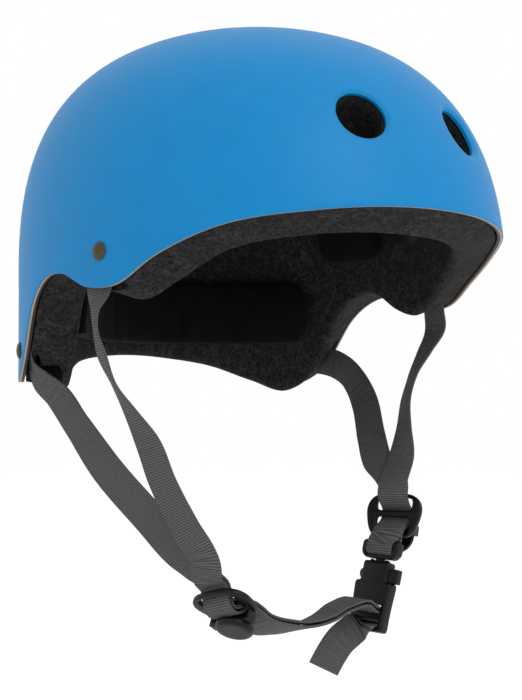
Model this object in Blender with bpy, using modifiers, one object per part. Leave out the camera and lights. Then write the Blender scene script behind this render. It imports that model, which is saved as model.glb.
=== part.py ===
"""Bucket style water helmet: moulded shell, foam liner, comfort pads, riveted webbing straps,
two strap splitters with locking caps, and a side release chin buckle.

Axes: the wearer faces -Y, the wearer's right is -X, and +Z is up. The origin is the underside of the
crown pad, where the helmet rests on the head. Run it with: blender --background --python part.py
"""
import math

import bmesh
import bpy
import numpy as np
from mathutils import Matrix, Vector

MM = 0.001

# Outer shell: a dome on superellipse curves above an upright wall
HALF_WIDTH = 0.1155
FRONT_REACH = 0.1245
REAR_REACH = 0.1330
DOME_RISE = 0.1310
PLAN_POWER = 2.11
SECTION_POWER = 2.63
CROWN_LEAN = (0.0042, 0.0051)
SHELL_WALL = 0.0030
# Rim height above the equator plane, degrees from the front against millimetres
RIM = (
    (0, 30.5), (30, 27.0), (52, 19.5), (66, 8.0), (76, -3.0), (86, -3.5), (96, 4.0), (104, 3.0),
    (112, -8.0), (120, -33.0), (130, -45.0), (142, -39.0), (154, -31.5), (168, -28.0), (180, -27.0),
)
VENT_HOLE = 0.0125
VENT_LIP = 0.0155
VENT_LIP_DEPTH = 0.0022
VENTS = ((17.0, 73.0), (-17.0, 73.0), (163.0, 66.0), (-163.0, 66.0))

# Foam liner and pads inside it
LINER_GAP = 0.0008
LINER_THICKNESS = 0.0215
LINER_HOLE = 0.0115
# How far the liner's inner edge hangs below the shell's rim, degrees against millimetres
LINER_DROP = ((0, 10.0), (52, 9.0), (66, 10.0), (76, 6.0), (88, 1.0), (112, 1.0), (124, 3.0), (180, 2.0))
PATCH_THICKNESS = 0.0010
PAD_THICKNESS = 0.0060
TOUCH_GAP = 0.0003
CURVED_GAP = 0.0009

# Straps: 16 mm webbing
WEBBING_WIDTH = 0.0160
WEBBING_THICKNESS = 0.0013
LAYER_OFFSET = 0.00118
RIVET_HOLE = 0.0024
STRAP_HOLE = 0.0031
RIVET_SHANK = 0.0020
RIVET_HEAD = 0.0043
WASHER_RADIUS = 0.0050

INNER_INSET = SHELL_WALL + LINER_GAP + LINER_THICKNESS
CROWN_INSET = INNER_INSET + PATCH_THICKNESS + PAD_THICKNESS + 2 * CURVED_GAP
EQUATOR = CROWN_INSET - DOME_RISE

# Splitters and buckle: origin in millimetres from the equator plane's centre, width axis, up axis
RIGHT_SPLITTER = ((-54.5, -36.0, -150.4), (0.172, -0.956, 0.239), (-0.843, -0.018, 0.537))
LEFT_SPLITTER = ((60.4, -34.0, -115.0), (-0.30, 0.954, 0.0), (0.30, 0.094, 0.949))
BUCKLE = ((46.5, -35.0, -146.4), (0.090, -0.996, -0.026), (0.278, 0.0, 0.96))

PLUG_THICKNESS = 0.0058
PRONG_THICKNESS = 0.0032
SOCKET_THICKNESS = 0.0066
HOLLOW = 0.0040
SLOT_HALF = 0.0085
PRONG_PIVOT = (4.7, 10.0)

# Rivets: degrees from the front and height above the equator plane
RIVET_PLACES = {
    "right_front": (81.0, 0.0123),
    "right_rear": (124.5, -0.0298),
    "left_front": (-81.0, 0.0123),
    "left_rear": (-124.5, -0.0298),
}


# ---------------------------------------------------------------- scene and helpers

def clear_scene():
    for old in list(bpy.data.objects):
        bpy.data.objects.remove(old, do_unlink=True)


def new_collection(name):
    made = bpy.data.collections.new(name)
    bpy.context.scene.collection.children.link(made)
    return made


def material(name, colour, roughness, metallic=0.0):
    made = bpy.data.materials.new(name)
    made.use_nodes = True
    shader = made.node_tree.nodes["Principled BSDF"]
    shader.inputs["Base Color"].default_value = (*colour, 1.0)
    shader.inputs["Roughness"].default_value = roughness
    shader.inputs["Metallic"].default_value = metallic
    return made


def add_mesh(name, verts, faces, finish, smooth=False):
    mesh = bpy.data.meshes.new(name)
    mesh.from_pydata([tuple(v) for v in verts], [], faces)
    mesh.validate()
    if smooth:
        mesh.shade_smooth()
        mesh.set_sharp_from_angle(angle=math.radians(40))
    made = bpy.data.objects.new(name, mesh)
    made.data.materials.append(finish)
    PARTS.objects.link(made)
    return made


def as_part(made, name, finish, smooth=False):
    """Give a finished object its node name, its material and its place in the parts collection."""
    made.name = name
    made.data.name = name
    made.data.materials.clear()
    made.data.materials.append(finish)
    for holder in list(made.users_collection):
        holder.objects.unlink(made)
    PARTS.objects.link(made)
    if smooth:
        made.data.shade_smooth()
        made.data.set_sharp_from_angle(angle=math.radians(40))
    return made


def as_cutter(made, name):
    made.name = name
    made.hide_render = True
    made.display_type = "WIRE"
    for holder in list(made.users_collection):
        holder.objects.unlink(made)
    CUTTERS.objects.link(made)
    return made


def cut(target, cutter):
    boolean = target.modifiers.new("cut_" + cutter.name, "BOOLEAN")
    boolean.operation = "DIFFERENCE"
    boolean.solver = "EXACT"
    boolean.object = cutter


def join(target, other):
    boolean = target.modifiers.new("join_" + other.name, "BOOLEAN")
    boolean.operation = "UNION"
    boolean.solver = "EXACT"
    boolean.object = other


def local_frame(origin_mm, width_axis, up_axis):
    """Matrix of a fitting: X along the webbing's width, Z along the webbing, Y through it."""
    up = Vector(up_axis).normalized()
    width = Vector(width_axis)
    width = (width - up * width.dot(up)).normalized()
    through = up.cross(width)
    matrix = Matrix((width, through, up)).transposed().to_4x4()
    matrix.translation = Vector(origin_mm) * MM + Vector((0.0, 0.0, EQUATOR))
    return matrix


def box(size, centre, matrix=None):
    mesh = bpy.data.meshes.new("box")
    shape = bmesh.new()
    bmesh.ops.create_cube(shape, size=1.0)
    bmesh.ops.scale(shape, vec=size, verts=shape.verts)
    bmesh.ops.translate(shape, vec=centre, verts=shape.verts)
    shape.to_mesh(mesh)
    shape.free()
    made = bpy.data.objects.new("box", mesh)
    bpy.context.scene.collection.objects.link(made)
    if matrix is not None:
        made.matrix_world = matrix
    return made


def cylinder(radius, depth, matrix, top_radius=None, sides=32):
    """Cylinder or cone along local Z, centred on the matrix's origin."""
    mesh = bpy.data.meshes.new("cylinder")
    shape = bmesh.new()
    bmesh.ops.create_cone(
        shape, cap_ends=True, segments=sides, radius1=radius,
        radius2=radius if top_radius is None else top_radius, depth=depth,
    )
    shape.to_mesh(mesh)
    shape.free()
    made = bpy.data.objects.new("cylinder", mesh)
    bpy.context.scene.collection.objects.link(made)
    made.matrix_world = matrix
    return made


def flat_outline(points, thickness, matrix):
    """Extruded flat outline in the local XZ plane, centred on local Y = 0, as a mesh object."""
    curve = bpy.data.curves.new("outline", "CURVE")
    curve.dimensions = "2D"
    curve.fill_mode = "BOTH"
    curve.extrude = thickness / 2
    spline = curve.splines.new("POLY")
    spline.points.add(len(points) - 1)
    for point, (x, z) in zip(spline.points, points):
        point.co = (x, z, 0.0, 1.0)
    spline.use_cyclic_u = True
    drawn = bpy.data.objects.new("outline", curve)
    bpy.context.scene.collection.objects.link(drawn)
    mesh = bpy.data.meshes.new_from_object(drawn.evaluated_get(bpy.context.evaluated_depsgraph_get()))
    shape = bmesh.new()
    shape.from_mesh(mesh)
    bmesh.ops.remove_doubles(shape, verts=shape.verts, dist=0.00001)
    shape.to_mesh(mesh)
    shape.free()
    made = bpy.data.objects.new("outline", mesh)
    bpy.context.scene.collection.objects.link(made)
    made.matrix_world = matrix @ Matrix.Rotation(math.pi / 2, 4, "X")
    bpy.data.objects.remove(drawn, do_unlink=True)
    return made


def turned(profile, matrix, steps=32):
    """Turned solid: profile of (radius, height) running down the outer side, Screw about local Z."""
    mesh = bpy.data.meshes.new("turned")
    verts = [(radius, 0.0, height) for radius, height in profile]
    mesh.from_pydata(verts, [(i, i + 1) for i in range(len(verts) - 1)], [])
    made = bpy.data.objects.new("turned", mesh)
    bpy.context.scene.collection.objects.link(made)
    screw = made.modifiers.new("turn", "SCREW")
    screw.steps = steps
    screw.render_steps = steps
    screw.use_merge_vertices = True
    screw.merge_threshold = 0.00001
    made.matrix_world = matrix
    return made


def rounded_rectangle(half_x, half_z, radius, centre_z=0.0, steps=4):
    corners = ((1, 1, 0), (-1, 1, 90), (-1, -1, 180), (1, -1, 270))
    points = []
    for side_x, side_z, start in corners:
        for k in range(steps + 1):
            turn = math.radians(start + 90 * k / steps)
            points.append((
                side_x * (half_x - radius) + radius * math.cos(turn),
                centre_z + side_z * (half_z - radius) + radius * math.sin(turn),
            ))
    return points


def smooth_steps(value, stations):
    """Smooth curve through (position, height) stations."""
    xs = np.array([s[0] for s in stations], float)
    ys = np.array([s[1:] for s in stations], float)
    slopes = np.diff(ys, axis=0) / np.diff(xs)[:, None]
    tangents = np.zeros_like(ys)
    before = np.diff(xs)[:-1, None]
    after = np.diff(xs)[1:, None]
    tangents[1:-1] = (slopes[:-1] * after + slopes[1:] * before) / (before + after)
    k = int(np.clip(np.searchsorted(xs, value, side="right") - 1, 0, len(xs) - 2))
    span = xs[k + 1] - xs[k]
    t = (value - xs[k]) / span
    return (
        (2 * t**3 - 3 * t**2 + 1) * ys[k] + (t**3 - 2 * t**2 + t) * span * tangents[k]
        + (3 * t**2 - 2 * t**3) * ys[k + 1] + (t**3 - t**2) * span * tangents[k + 1]
    )


# ---------------------------------------------------------------- the dome's surface

def around(degrees):
    """Degrees from the front, 0 to 180, the same on both sides."""
    return abs((degrees + 180.0) % 360.0 - 180.0)


def dome_point(degrees, station, inset=0.0):
    """Point of the dome; station is below 0 on the upright wall and a section angle above it."""
    turn = math.radians(degrees)
    side = abs(math.sin(turn)) / (HALF_WIDTH - inset)
    fore = abs(math.cos(turn)) / ((FRONT_REACH if math.cos(turn) > 0 else REAR_REACH) - inset)
    reach = (side**PLAN_POWER + fore**PLAN_POWER) ** (-1 / PLAN_POWER)
    if station < 0:
        height = station * DOME_RISE
        lean = 0.0
    else:
        rise = math.sin(station) ** (2 / SECTION_POWER)
        reach *= max(math.cos(station), 0.0) ** (2 / SECTION_POWER)
        height = (DOME_RISE - inset) * rise
        lean = CROWN_LEAN[0] * rise + CROWN_LEAN[1] * rise**2
    return Vector((-reach * math.sin(turn), -reach * math.cos(turn) + lean, height + EQUATOR))


def station_at(height, inset=0.0):
    if height < 0:
        return height / DOME_RISE
    return math.asin(min(height / (DOME_RISE - inset), 1.0) ** (SECTION_POWER / 2))


def wall_frame(degrees, height, inset):
    """Matrix on the dome: Z points out of it, Y points up along it."""
    step = 0.5
    here = dome_point(degrees, station_at(height), inset)
    along = dome_point(degrees + step, station_at(height), inset) - here
    upward = dome_point(degrees, station_at(height + 0.001), inset) - here
    out = along.cross(upward).normalized()
    if out.dot(here - Vector((0, 0, here.z))) < 0:
        out.negate()
    upward = (upward - out * upward.dot(out)).normalized()
    matrix = Matrix((upward.cross(out), upward, out)).transposed().to_4x4()
    matrix.translation = here
    return matrix


def section(degrees, low, inset, rows):
    """Points evenly spaced up the dome at one angle, from the height low to the crown."""
    start = station_at(low, inset)
    stations = np.concatenate([np.linspace(min(start, 0.0), 0.0, 20)[:-1], np.linspace(0.0, math.pi / 2, 240)])
    stations = stations[stations >= start - 1e-9]
    points = np.array([dome_point(degrees, s, inset) for s in stations])
    run = np.concatenate([[0.0], np.cumsum(np.linalg.norm(np.diff(points, axis=0), axis=1))])
    return [Vector([np.interp(s, run, points[:, k]) for k in range(3)]) for s in np.linspace(0, run[-1], rows)]


def rim_height(degrees):
    return float(smooth_steps(around(degrees), RIM)[0]) * MM


def liner_drop(degrees):
    return float(smooth_steps(around(degrees), LINER_DROP)[0]) * MM


def loft_closed(name, columns, finish):
    """Closed skin over columns of points; every column starts and ends on the same two poles."""
    count = len(columns)
    rows = len(columns[0]) - 2
    verts = [columns[0][0], columns[0][-1]]
    for column in columns:
        verts.extend(column[1:-1])
    faces = []
    for c in range(count):
        here = 2 + c * rows
        there = 2 + ((c + 1) % count) * rows
        faces.append((0, here, there))
        faces.append((1, there + rows - 1, here + rows - 1))
        for r in range(rows - 1):
            faces.append((here + r, here + r + 1, there + r + 1, there + r))
    return add_mesh(name, verts, faces, finish, smooth=True)


# ---------------------------------------------------------------- shell, liner, pads

def vent_frames(inset):
    return [wall_frame(angle, height * MM, inset) for angle, height in VENTS]


def make_shell():
    columns = 64
    rows = 12
    verts = [section(0.0, rim_height(0.0), 0.0, rows)[-1]]
    faces = []
    for c in range(columns):
        degrees = 360.0 * c / columns
        verts.extend(section(degrees, rim_height(degrees), 0.0, rows)[:-1])
    for c in range(columns):
        here = 1 + c * (rows - 1)
        there = 1 + ((c + 1) % columns) * (rows - 1)
        for r in range(rows - 2):
            faces.append((here + r, here + r + 1, there + r + 1, there + r))
        faces.append((here + rows - 2, 0, there + rows - 2))
    shell = add_mesh("outer_shell", verts, faces, SHELL_BLUE, smooth=True)
    wall = shell.modifiers.new("wall", "SOLIDIFY")
    wall.thickness = SHELL_WALL
    wall.offset = -1.0
    for k, frame in enumerate(vent_frames(0.0)):
        hole = cylinder(VENT_HOLE, 0.030, frame)
        cut(shell, as_cutter(hole, f"vent_hole_{k}"))
        lip_frame = frame @ Matrix.Translation((0, 0, 0.001))
        lip = cylinder(VENT_HOLE - 0.0004, 2 * VENT_LIP_DEPTH, lip_frame, VENT_LIP + 0.001)
        cut(shell, as_cutter(lip, f"vent_lip_{k}"))
    for place, (degrees, height) in RIVET_PLACES.items():
        cut(shell, as_cutter(cylinder(RIVET_HOLE, 0.020, wall_frame(degrees, height, 0.0)), "shell_hole_" + place))
    return shell


def strap_channel(name, degrees, height, size, shift, tilt=0.0):
    """Pocket in the liner's outer side for a strap end; size is width, length and depth."""
    frame = wall_frame(degrees, height, SHELL_WALL) @ Matrix.Rotation(math.radians(tilt), 4, "Z")
    return as_cutter(box(size, shift, frame), name)


def make_liner():
    columns = []
    count = 48
    rows = 10
    outer_inset = SHELL_WALL + LINER_GAP
    for c in range(count):
        degrees = 360.0 * c / count
        low = rim_height(degrees) + 0.0004
        drop = liner_drop(degrees)
        outer = section(degrees, low, outer_inset, rows)
        corner = dome_point(degrees, station_at(low - drop), INNER_INSET - 0.0035)
        inner = section(degrees, low - drop + 0.0030, INNER_INSET, rows)
        columns.append(outer[::-1] + [corner] + inner)
    liner = loft_closed("foam_liner", columns, FOAM_BLACK)
    for k, frame in enumerate(vent_frames(SHELL_WALL)):
        hole = cylinder(LINER_HOLE, 0.070, frame @ Matrix.Translation((0, 0, -0.020)))
        cut(liner, as_cutter(hole, f"liner_hole_{k}"))
    for side, sign in (("right", 1), ("left", -1)):
        front = strap_channel(f"{side}_front_channel", sign * 82.5, 0.0, (0.028, 0.056, 0.0130), (0, 0.0, 0.0))
        cut(liner, front)
    rear = strap_channel("right_rear_channel", 124.5, -0.0400, (0.021, 0.040, 0.0130), (0, 0, 0))
    cut(liner, rear)
    pocket = Matrix.Translation((-0.0915, 0.0625, EQUATOR - 0.052))
    cut(liner, as_cutter(cylinder(0.0098, 0.030, pocket, sides=24), "right_rear_pocket"))
    rear = strap_channel("left_rear_channel", -121.5, -0.0320, (0.048, 0.025, 0.0130), (0, 0, 0))
    cut(liner, rear)
    return liner


def curved_slab(name, angles, low, high, inset, thickness, finish, columns=20, rows=6, lean_in=None):
    """Closed slab that follows the dome between two insets, with rounded ends and edges."""
    near, far = [], []
    for c in range(columns + 1):
        share = c / columns
        degrees = angles[0] + (angles[1] - angles[0]) * share
        end = min(share, 1 - share) * columns
        shrink = 0.18 * (high - low) * (1.0, 0.35, 0.0)[min(int(round(end)), 2)]
        extra = lean_in(degrees) if lean_in else 0.0
        outer_row, inner_row = [], []
        for r in range(rows + 1):
            tall = low + shrink + (high - low - 2 * shrink) * r / rows
            edge = (0.30 if r in (0, rows) or c in (0, columns) else 0.0) * thickness
            outer_row.append(dome_point(degrees, station_at(tall, inset), inset + extra + edge))
            inner_row.append(dome_point(degrees, station_at(tall, inset), inset + extra + thickness - edge))
        near.append(outer_row)
        far.append(inner_row)
    verts = [p for row in near for p in row] + [p for row in far for p in row]
    width = rows + 1
    back = (columns + 1) * width
    faces = []
    for c in range(columns):
        for r in range(rows):
            a = c * width + r
            faces.append((a, a + 1, a + 1 + width, a + width))
            faces.append((back + a, back + a + width, back + a + 1 + width, back + a + 1))
        for a, b in ((c * width, (c + 1) * width), ((c + 1) * width + rows, c * width + rows)):
            faces.append((a, b, back + b, back + a))
    for r in range(rows):
        a = r
        faces.append((a + 1, a, back + a, back + a + 1))
        b = columns * width + r
        faces.append((b, b + 1, back + b + 1, back + b))
    slab = add_mesh(name, verts, faces, finish, smooth=True)
    shape = bmesh.new()
    shape.from_mesh(slab.data)
    bmesh.ops.recalc_face_normals(shape, faces=shape.faces)
    shape.to_mesh(slab.data)
    shape.free()
    return slab


def brow_corner_gap(degrees):
    """The brow pad bridges the liner's front corners instead of pressing into them."""
    return 0.0055 * math.exp(-(((around(degrees) - 52.0) / 11.0) ** 2))


def make_pads():
    face = INNER_INSET + CURVED_GAP
    behind = face + PATCH_THICKNESS + CURVED_GAP
    curved_slab("brow_pad", (-80, 80), 0.0270, 0.0560, behind, PAD_THICKNESS, PAD_BLACK, 32, 4, brow_corner_gap)
    curved_slab("rear_pad", (122, 238), -0.0240, 0.0140, behind, PAD_THICKNESS, PAD_BLACK, 24, 4)
    for side, sign in (("right", 1), ("left", -1)):
        curved_slab(f"{side}_side_pad", (sign * 86, sign * 116), 0.0210, 0.0620, behind, PAD_THICKNESS,
                    PAD_BLACK, 8, 6)
        curved_slab(f"{side}_side_patch", (sign * 95, sign * 107), 0.0330, 0.0500, face, PATCH_THICKNESS,
                    HOOK_BLACK, 4, 3)
        curved_slab(f"{side}_brow_patch", (sign * 16, sign * 28), 0.0340, 0.0500, face, PATCH_THICKNESS,
                    HOOK_BLACK, 4, 3)
        curved_slab(f"{side}_rear_patch", (sign * 150, sign * 162), -0.0130, 0.0030, face, PATCH_THICKNESS,
                    HOOK_BLACK, 4, 3)


def make_crown_pad():
    """Domed disc under the crown with a flat underside, and its hook patch above it."""
    top = dome_point(0.0, math.pi / 2, INNER_INSET)
    patch_frame = Matrix.Translation((0.0, top.y, top.z - TOUCH_GAP - 0.0005 - PATCH_THICKNESS))
    patch = turned(((0.0, PATCH_THICKNESS), (0.0120, PATCH_THICKNESS), (0.0120, 0.0), (0.0, 0.0)), patch_frame)
    as_part(patch, "crown_patch", HOOK_BLACK)
    frame = Matrix.Translation((0.0, top.y, 0.0))
    rise = top.z - 2 * TOUCH_GAP - 0.0005 - PATCH_THICKNESS
    profile = ((0.0, rise), (0.0200, rise - 0.0003), (0.0300, rise - 0.0018), (0.0335, rise - 0.0034),
               (0.0330, 0.0010), (0.0310, 0.0), (0.0, 0.0))
    pad = turned(profile, frame, 40)
    as_part(pad, "crown_pad", PAD_BLACK, smooth=True)


# ---------------------------------------------------------------- webbing

def route_points(stations, step):
    """Evenly stepped centres and width directions along a smooth curve through the stations."""
    places = [Vector(s[0]) for s in stations]
    runs = [0.0]
    for a, b in zip(places, places[1:]):
        runs.append(runs[-1] + (b - a).length)
    table = [(run, *place, *Vector(s[1]).normalized()) for run, place, s in zip(runs, places, stations)]
    count = max(int(round(runs[-1] / step)), 4)
    rows = [smooth_steps(runs[-1] * k / count, table) for k in range(count + 1)]
    return [Vector(r[:3]) for r in rows], [Vector(r[3:]).normalized() for r in rows]


def webbing(name, stations, offset=0.0, ramp=(0.0, 0.001), step=0.0045):
    """Flat webbing swept along its stations.

    The offset moves it along its own face normal, growing from nothing over the ramp's two distances.
    """
    centres, widths = route_points(stations, step)
    verts = []
    for k, (centre, width) in enumerate(zip(centres, widths)):
        ahead = centres[min(k + 1, len(centres) - 1)] - centres[max(k - 1, 0)]
        ahead.normalize()
        width = (width - ahead * width.dot(ahead)).normalized()
        normal = ahead.cross(width)
        share = min(max((k * step - ramp[0]) / (ramp[1] - ramp[0]), 0.0), 1.0)
        middle = centre + normal * offset * share
        half = width * WEBBING_WIDTH / 2
        thick = normal * WEBBING_THICKNESS / 2
        verts.extend((middle - half - thick, middle + half - thick, middle + half + thick, middle - half + thick))
    faces = [(0, 1, 2, 3)]
    for k in range(len(centres) - 1):
        for c in range(4):
            a = 4 * k + c
            b = 4 * k + (c + 1) % 4
            faces.append((a, a + 4, b + 4, b))
    last = 4 * (len(centres) - 1)
    faces.append((last + 3, last + 2, last + 1, last))
    return add_mesh(name, verts, faces, WEBBING_GREY)


def free(x, y, z, width):
    """Station in millimetres from the equator plane's centre."""
    return (Vector((x, y, z)) * MM + Vector((0, 0, EQUATOR)), Vector(width))


def fitted(frame, y, z, x=0.0):
    """Station in a fitting's own millimetres, with the fitting's width axis."""
    return (frame @ (Vector((x, y, z)) * MM), frame.to_3x3() @ Vector((1, 0, 0)))


def splitter_weave(frame, sign=1):
    """Centre line of the webbing through a splitter, from above its top bar to below its foot."""
    weave = ((5.2, 13.6), (4.9, 10.9), (1.3, 7.4), (-3.3, 4.6), (-4.2, 1.8), (-3.0, -1.2), (0.2, -4.4),
             (3.4, -7.2), (4.7, -10.4), (4.9, -14.5))
    return [(frame @ (Vector((0, y, z)) * MM), frame.to_3x3() @ Vector((sign, 0, 0))) for y, z in weave]


def strap_hole(strap, place, inset):
    degrees, height = RIVET_PLACES[place]
    cut(strap, as_cutter(cylinder(STRAP_HOLE, 0.008, wall_frame(degrees, height, inset)), "strap_hole_" + place))


def make_right_straps():
    splitter = local_frame(*RIGHT_SPLITTER)
    buckle = local_frame(*BUCKLE)
    chin = splitter_weave(splitter) + [
        free(-31.3, -33.0, -161.0, (0.35, -0.85, 0.40)),
        free(-18.1, -33.2, -164.0, (0.20, -0.92, 0.34)),
        free(-4.7, -33.0, -164.9, (0.07, -0.97, 0.22)),
        free(10.9, -33.0, -162.4, (0.02, -0.99, 0.10)),
        free(22.3, -33.6, -157.8, (0.05, -0.99, 0.02)),
        fitted(buckle, -10.0, -13.2),
        fitted(buckle, -5.5, -14.6),
        fitted(buckle, -1.6, -15.0),
        fitted(buckle, 1.6, -15.2),
        fitted(buckle, 3.6, -16.8),
        fitted(buckle, 3.6, -19.6),
        fitted(buckle, 1.6, -21.2),
        fitted(buckle, -1.6, -21.4),
    ]
    tail = [
        fitted(buckle, -3.4, -21.7),
        fitted(buckle, -5.2, -22.4),
        free(32.4, -31.8, -170.0, (0.36, -0.88, -0.30)),
        free(28.6, -27.2, -175.8, (0.58, -0.62, -0.54)),
        free(25.0, -18.0, -191.2, (0.61, -0.51, -0.60)),
    ]
    front = [
        free(-109.2, -19.8, 19.5, (0.14, -0.93, -0.34)),
        free(-110.0, -17.1, 12.3, (0.14, -0.93, -0.34)),
        free(-110.4, -14.0, 3.0, (0.11, -0.95, -0.30)),
        free(-110.6, -11.5, -5.0, (0.06, -0.98, -0.20)),
        free(-111.3, -9.8, -14.0, (-0.40, -0.90, 0.0)),
        free(-110.8, -9.4, -22.0, (-0.50, -0.85, -0.05)),
        free(-108.0, -10.5, -34.0, (-0.42, -0.90, 0.08)),
        free(-103.0, -13.5, -48.0, (-0.52, -0.84, 0.0)),
        free(-96.7, -17.8, -61.0, (-0.28, -0.96, 0.05)),
        free(-90.0, -22.0, -75.0, (0.12, -0.99, 0.10)),
        free(-84.6, -25.4, -91.5, (0.25, -0.96, 0.0)),
        free(-75.5, -32.5, -113.6, (0.31, -0.94, 0.10)),
        free(-69.0, -37.5, -128.0, (0.38, -0.91, 0.12)),
    ]
    rear = [
        free(-96.5, 67.1, -22.5, (-0.48, -0.87, 0.0)),
        free(-96.5, 67.1, -29.8, (-0.48, -0.87, 0.0)),
        free(-95.8, 66.3, -36.5, (-0.44, -0.89, 0.08)),
        free(-92.5, 62.5, -45.0, (0.0, -0.97, 0.20)),
        free(-88.3, 55.2, -52.0, (0.16, -0.94, 0.29)),
        free(-85.0, 42.0, -67.0, (0.20, -0.92, 0.30)),
        free(-80.7, 23.0, -88.0, (0.48, -0.65, 0.55)),
        free(-73.4, -1.6, -111.0, (0.50, -0.62, 0.55)),
        free(-70.4, -26.3, -129.7, (0.26, -0.90, 0.30)),
    ]
    front_strap = webbing("right_front_strap", front + chin, LAYER_OFFSET, (0.110, 0.150), 0.0024)
    strap_hole(front_strap, "right_front", SHELL_WALL)
    rear_strap = webbing("right_rear_strap", rear + chin + tail, -LAYER_OFFSET, (0.100, 0.140), 0.0024)
    strap_hole(rear_strap, "right_rear", SHELL_WALL)


def make_left_strap():
    """One length of webbing from rivet to rivet, looped round the plug's bar."""
    splitter = local_frame(*LEFT_SPLITTER)
    buckle = local_frame(*BUCKLE)
    weave = splitter_weave(splitter, -1)[:-1]
    normal_shift = splitter.to_3x3() @ Vector((0, LAYER_OFFSET, 0))
    down = [(place + normal_shift, width) for place, width in weave]
    up = [(place - normal_shift, width) for place, width in reversed(weave)]
    front = [
        free(109.4, -17.0, 19.5, (-0.14, -0.99, 0.0)),
        free(110.0, -17.1, 12.3, (-0.14, -0.99, 0.0)),
        free(109.8, -17.6, 3.0, (-0.15, -0.98, 0.10)),
        free(109.4, -19.0, -6.0, (-0.14, -0.98, 0.05)),
        free(108.6, -20.5, -15.0, (-0.10, -0.99, 0.05)),
        free(101.0, -19.5, -28.0, (-0.35, -0.93, 0.0)),
        free(90.5, -20.0, -42.0, (-0.57, -0.82, 0.0)),
        free(84.0, -21.5, -52.5, (-0.55, -0.83, 0.0)),
        free(76.5, -26.0, -70.0, (-0.35, -0.93, 0.0)),
        free(70.5, -30.0, -84.0, (0.10, -0.98, 0.0)),
    ]
    rear = [
        free(69.0, -14.0, -86.0, (0.42, -0.88, 0.12)),
        free(78.1, -1.0, -74.0, (0.36, -0.90, 0.20)),
        free(91.5, 17.5, -54.5, (0.30, -0.85, 0.40)),
        free(96.5, 28.0, -45.5, (0.15, -0.75, 0.60)),
        free(100.5, 41.0, -37.0, (0.05, -0.55, 0.83)),
        free(101.2, 54.0, -32.0, (0.10, -0.35, 0.93)),
        free(96.9, 67.3, -29.8, (0.05, -0.10, 0.98)),
        free(93.3, 73.3, -29.0, (0.05, -0.10, 0.98)),
    ]
    turn = [
        fitted(buckle, -3.0, 20.0), fitted(buckle, -3.1, 17.0), fitted(buckle, -3.0, 14.8),
        fitted(buckle, 0.0, 13.0), fitted(buckle, 3.0, 14.8), fitted(buckle, 3.1, 17.0),
        fitted(buckle, 3.0, 20.0),
    ]
    strap = webbing("left_strap", front + down + turn + up + rear, step=0.0035)
    strap_hole(strap, "left_front", SHELL_WALL)
    strap_hole(strap, "left_rear", SHELL_WALL)


# ---------------------------------------------------------------- rivets and washers

def make_rivets():
    head = ((0.0, 0.0018), (0.0020, 0.0016), (0.0034, 0.0010), (RIVET_HEAD, TOUCH_GAP))
    tail = -SHELL_WALL - 0.0042
    for place, (degrees, height) in RIVET_PLACES.items():
        frame = wall_frame(degrees, height, 0.0)
        profile = head + (
            (RIVET_SHANK, TOUCH_GAP), (RIVET_SHANK, tail), (0.0034, tail), (0.0034, tail - 0.0009), (0.0, tail - 0.0009),
        )
        as_part(turned(profile, frame, 24), place + "_rivet", RIVET_METAL, smooth=True)
        washer = cylinder(WASHER_RADIUS, 0.0008, frame @ Matrix.Translation((0, 0, tail + TOUCH_GAP + 0.0004)))
        as_part(washer, place + "_washer", RIVET_METAL)
        bore = cylinder(RIVET_HOLE, 0.010, frame @ Matrix.Translation((0, 0, tail)), sides=24)
        cut(washer, as_cutter(bore, "washer_hole_" + place))


# ---------------------------------------------------------------- splitters

def scaled(points):
    return [(x * MM, z * MM) for x, z in points]


def make_splitter(side, placing):
    frame = local_frame(*placing)
    half = [(6.5, 12.6), (11.0, 11.4), (14.2, 8.6), (15.6, 4.4), (15.0, -0.5), (13.4, -6.2), (11.2, -9.4),
            (8.2, -10.8)]
    outline = half + [(-x, z) for x, z in reversed(half)]
    body = flat_outline(scaled(outline), 0.0030, frame)
    as_part(body, side + "_splitter", PLASTIC_BLACK, smooth=True)
    upper = flat_outline(rounded_rectangle(0.0100, 0.0034, 0.0028, 0.0068), 0.0080, frame)
    cut(body, as_cutter(upper, side + "_splitter_upper_slot"))
    lower = flat_outline(rounded_rectangle(0.0092, 0.0044, 0.0015, -0.0043), 0.0080, frame)
    cut(body, as_cutter(lower, side + "_splitter_lower_slot"))
    cap_frame = frame @ Matrix.Translation((0, -0.0072, -0.0080)) @ Matrix.Rotation(math.pi / 2, 4, "X")
    profile = ((0.0, 0.0026), (0.0070, 0.0026), (0.0086, 0.0021), (0.0092, 0.0010), (0.0092, -0.0008), (0.0, -0.0008))
    disc = turned(profile, cap_frame, 40)
    as_part(disc, side + "_splitter_cap", PLASTIC_BLACK, smooth=True)
    bridge = box((0.0238, 0.0014, 0.0052), (0, -0.0064, -0.0055), frame)
    join(disc, as_cutter(bridge, side + "_cap_bridge"))
    for sign in (1, -1):
        leg = box((0.0020, 0.0042, 0.0052), (sign * 0.0109, -0.00388, -0.0055), frame)
        join(disc, as_cutter(leg, f"{side}_cap_leg_{'front' if sign > 0 else 'rear'}"))


# ---------------------------------------------------------------- side release buckle

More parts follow.
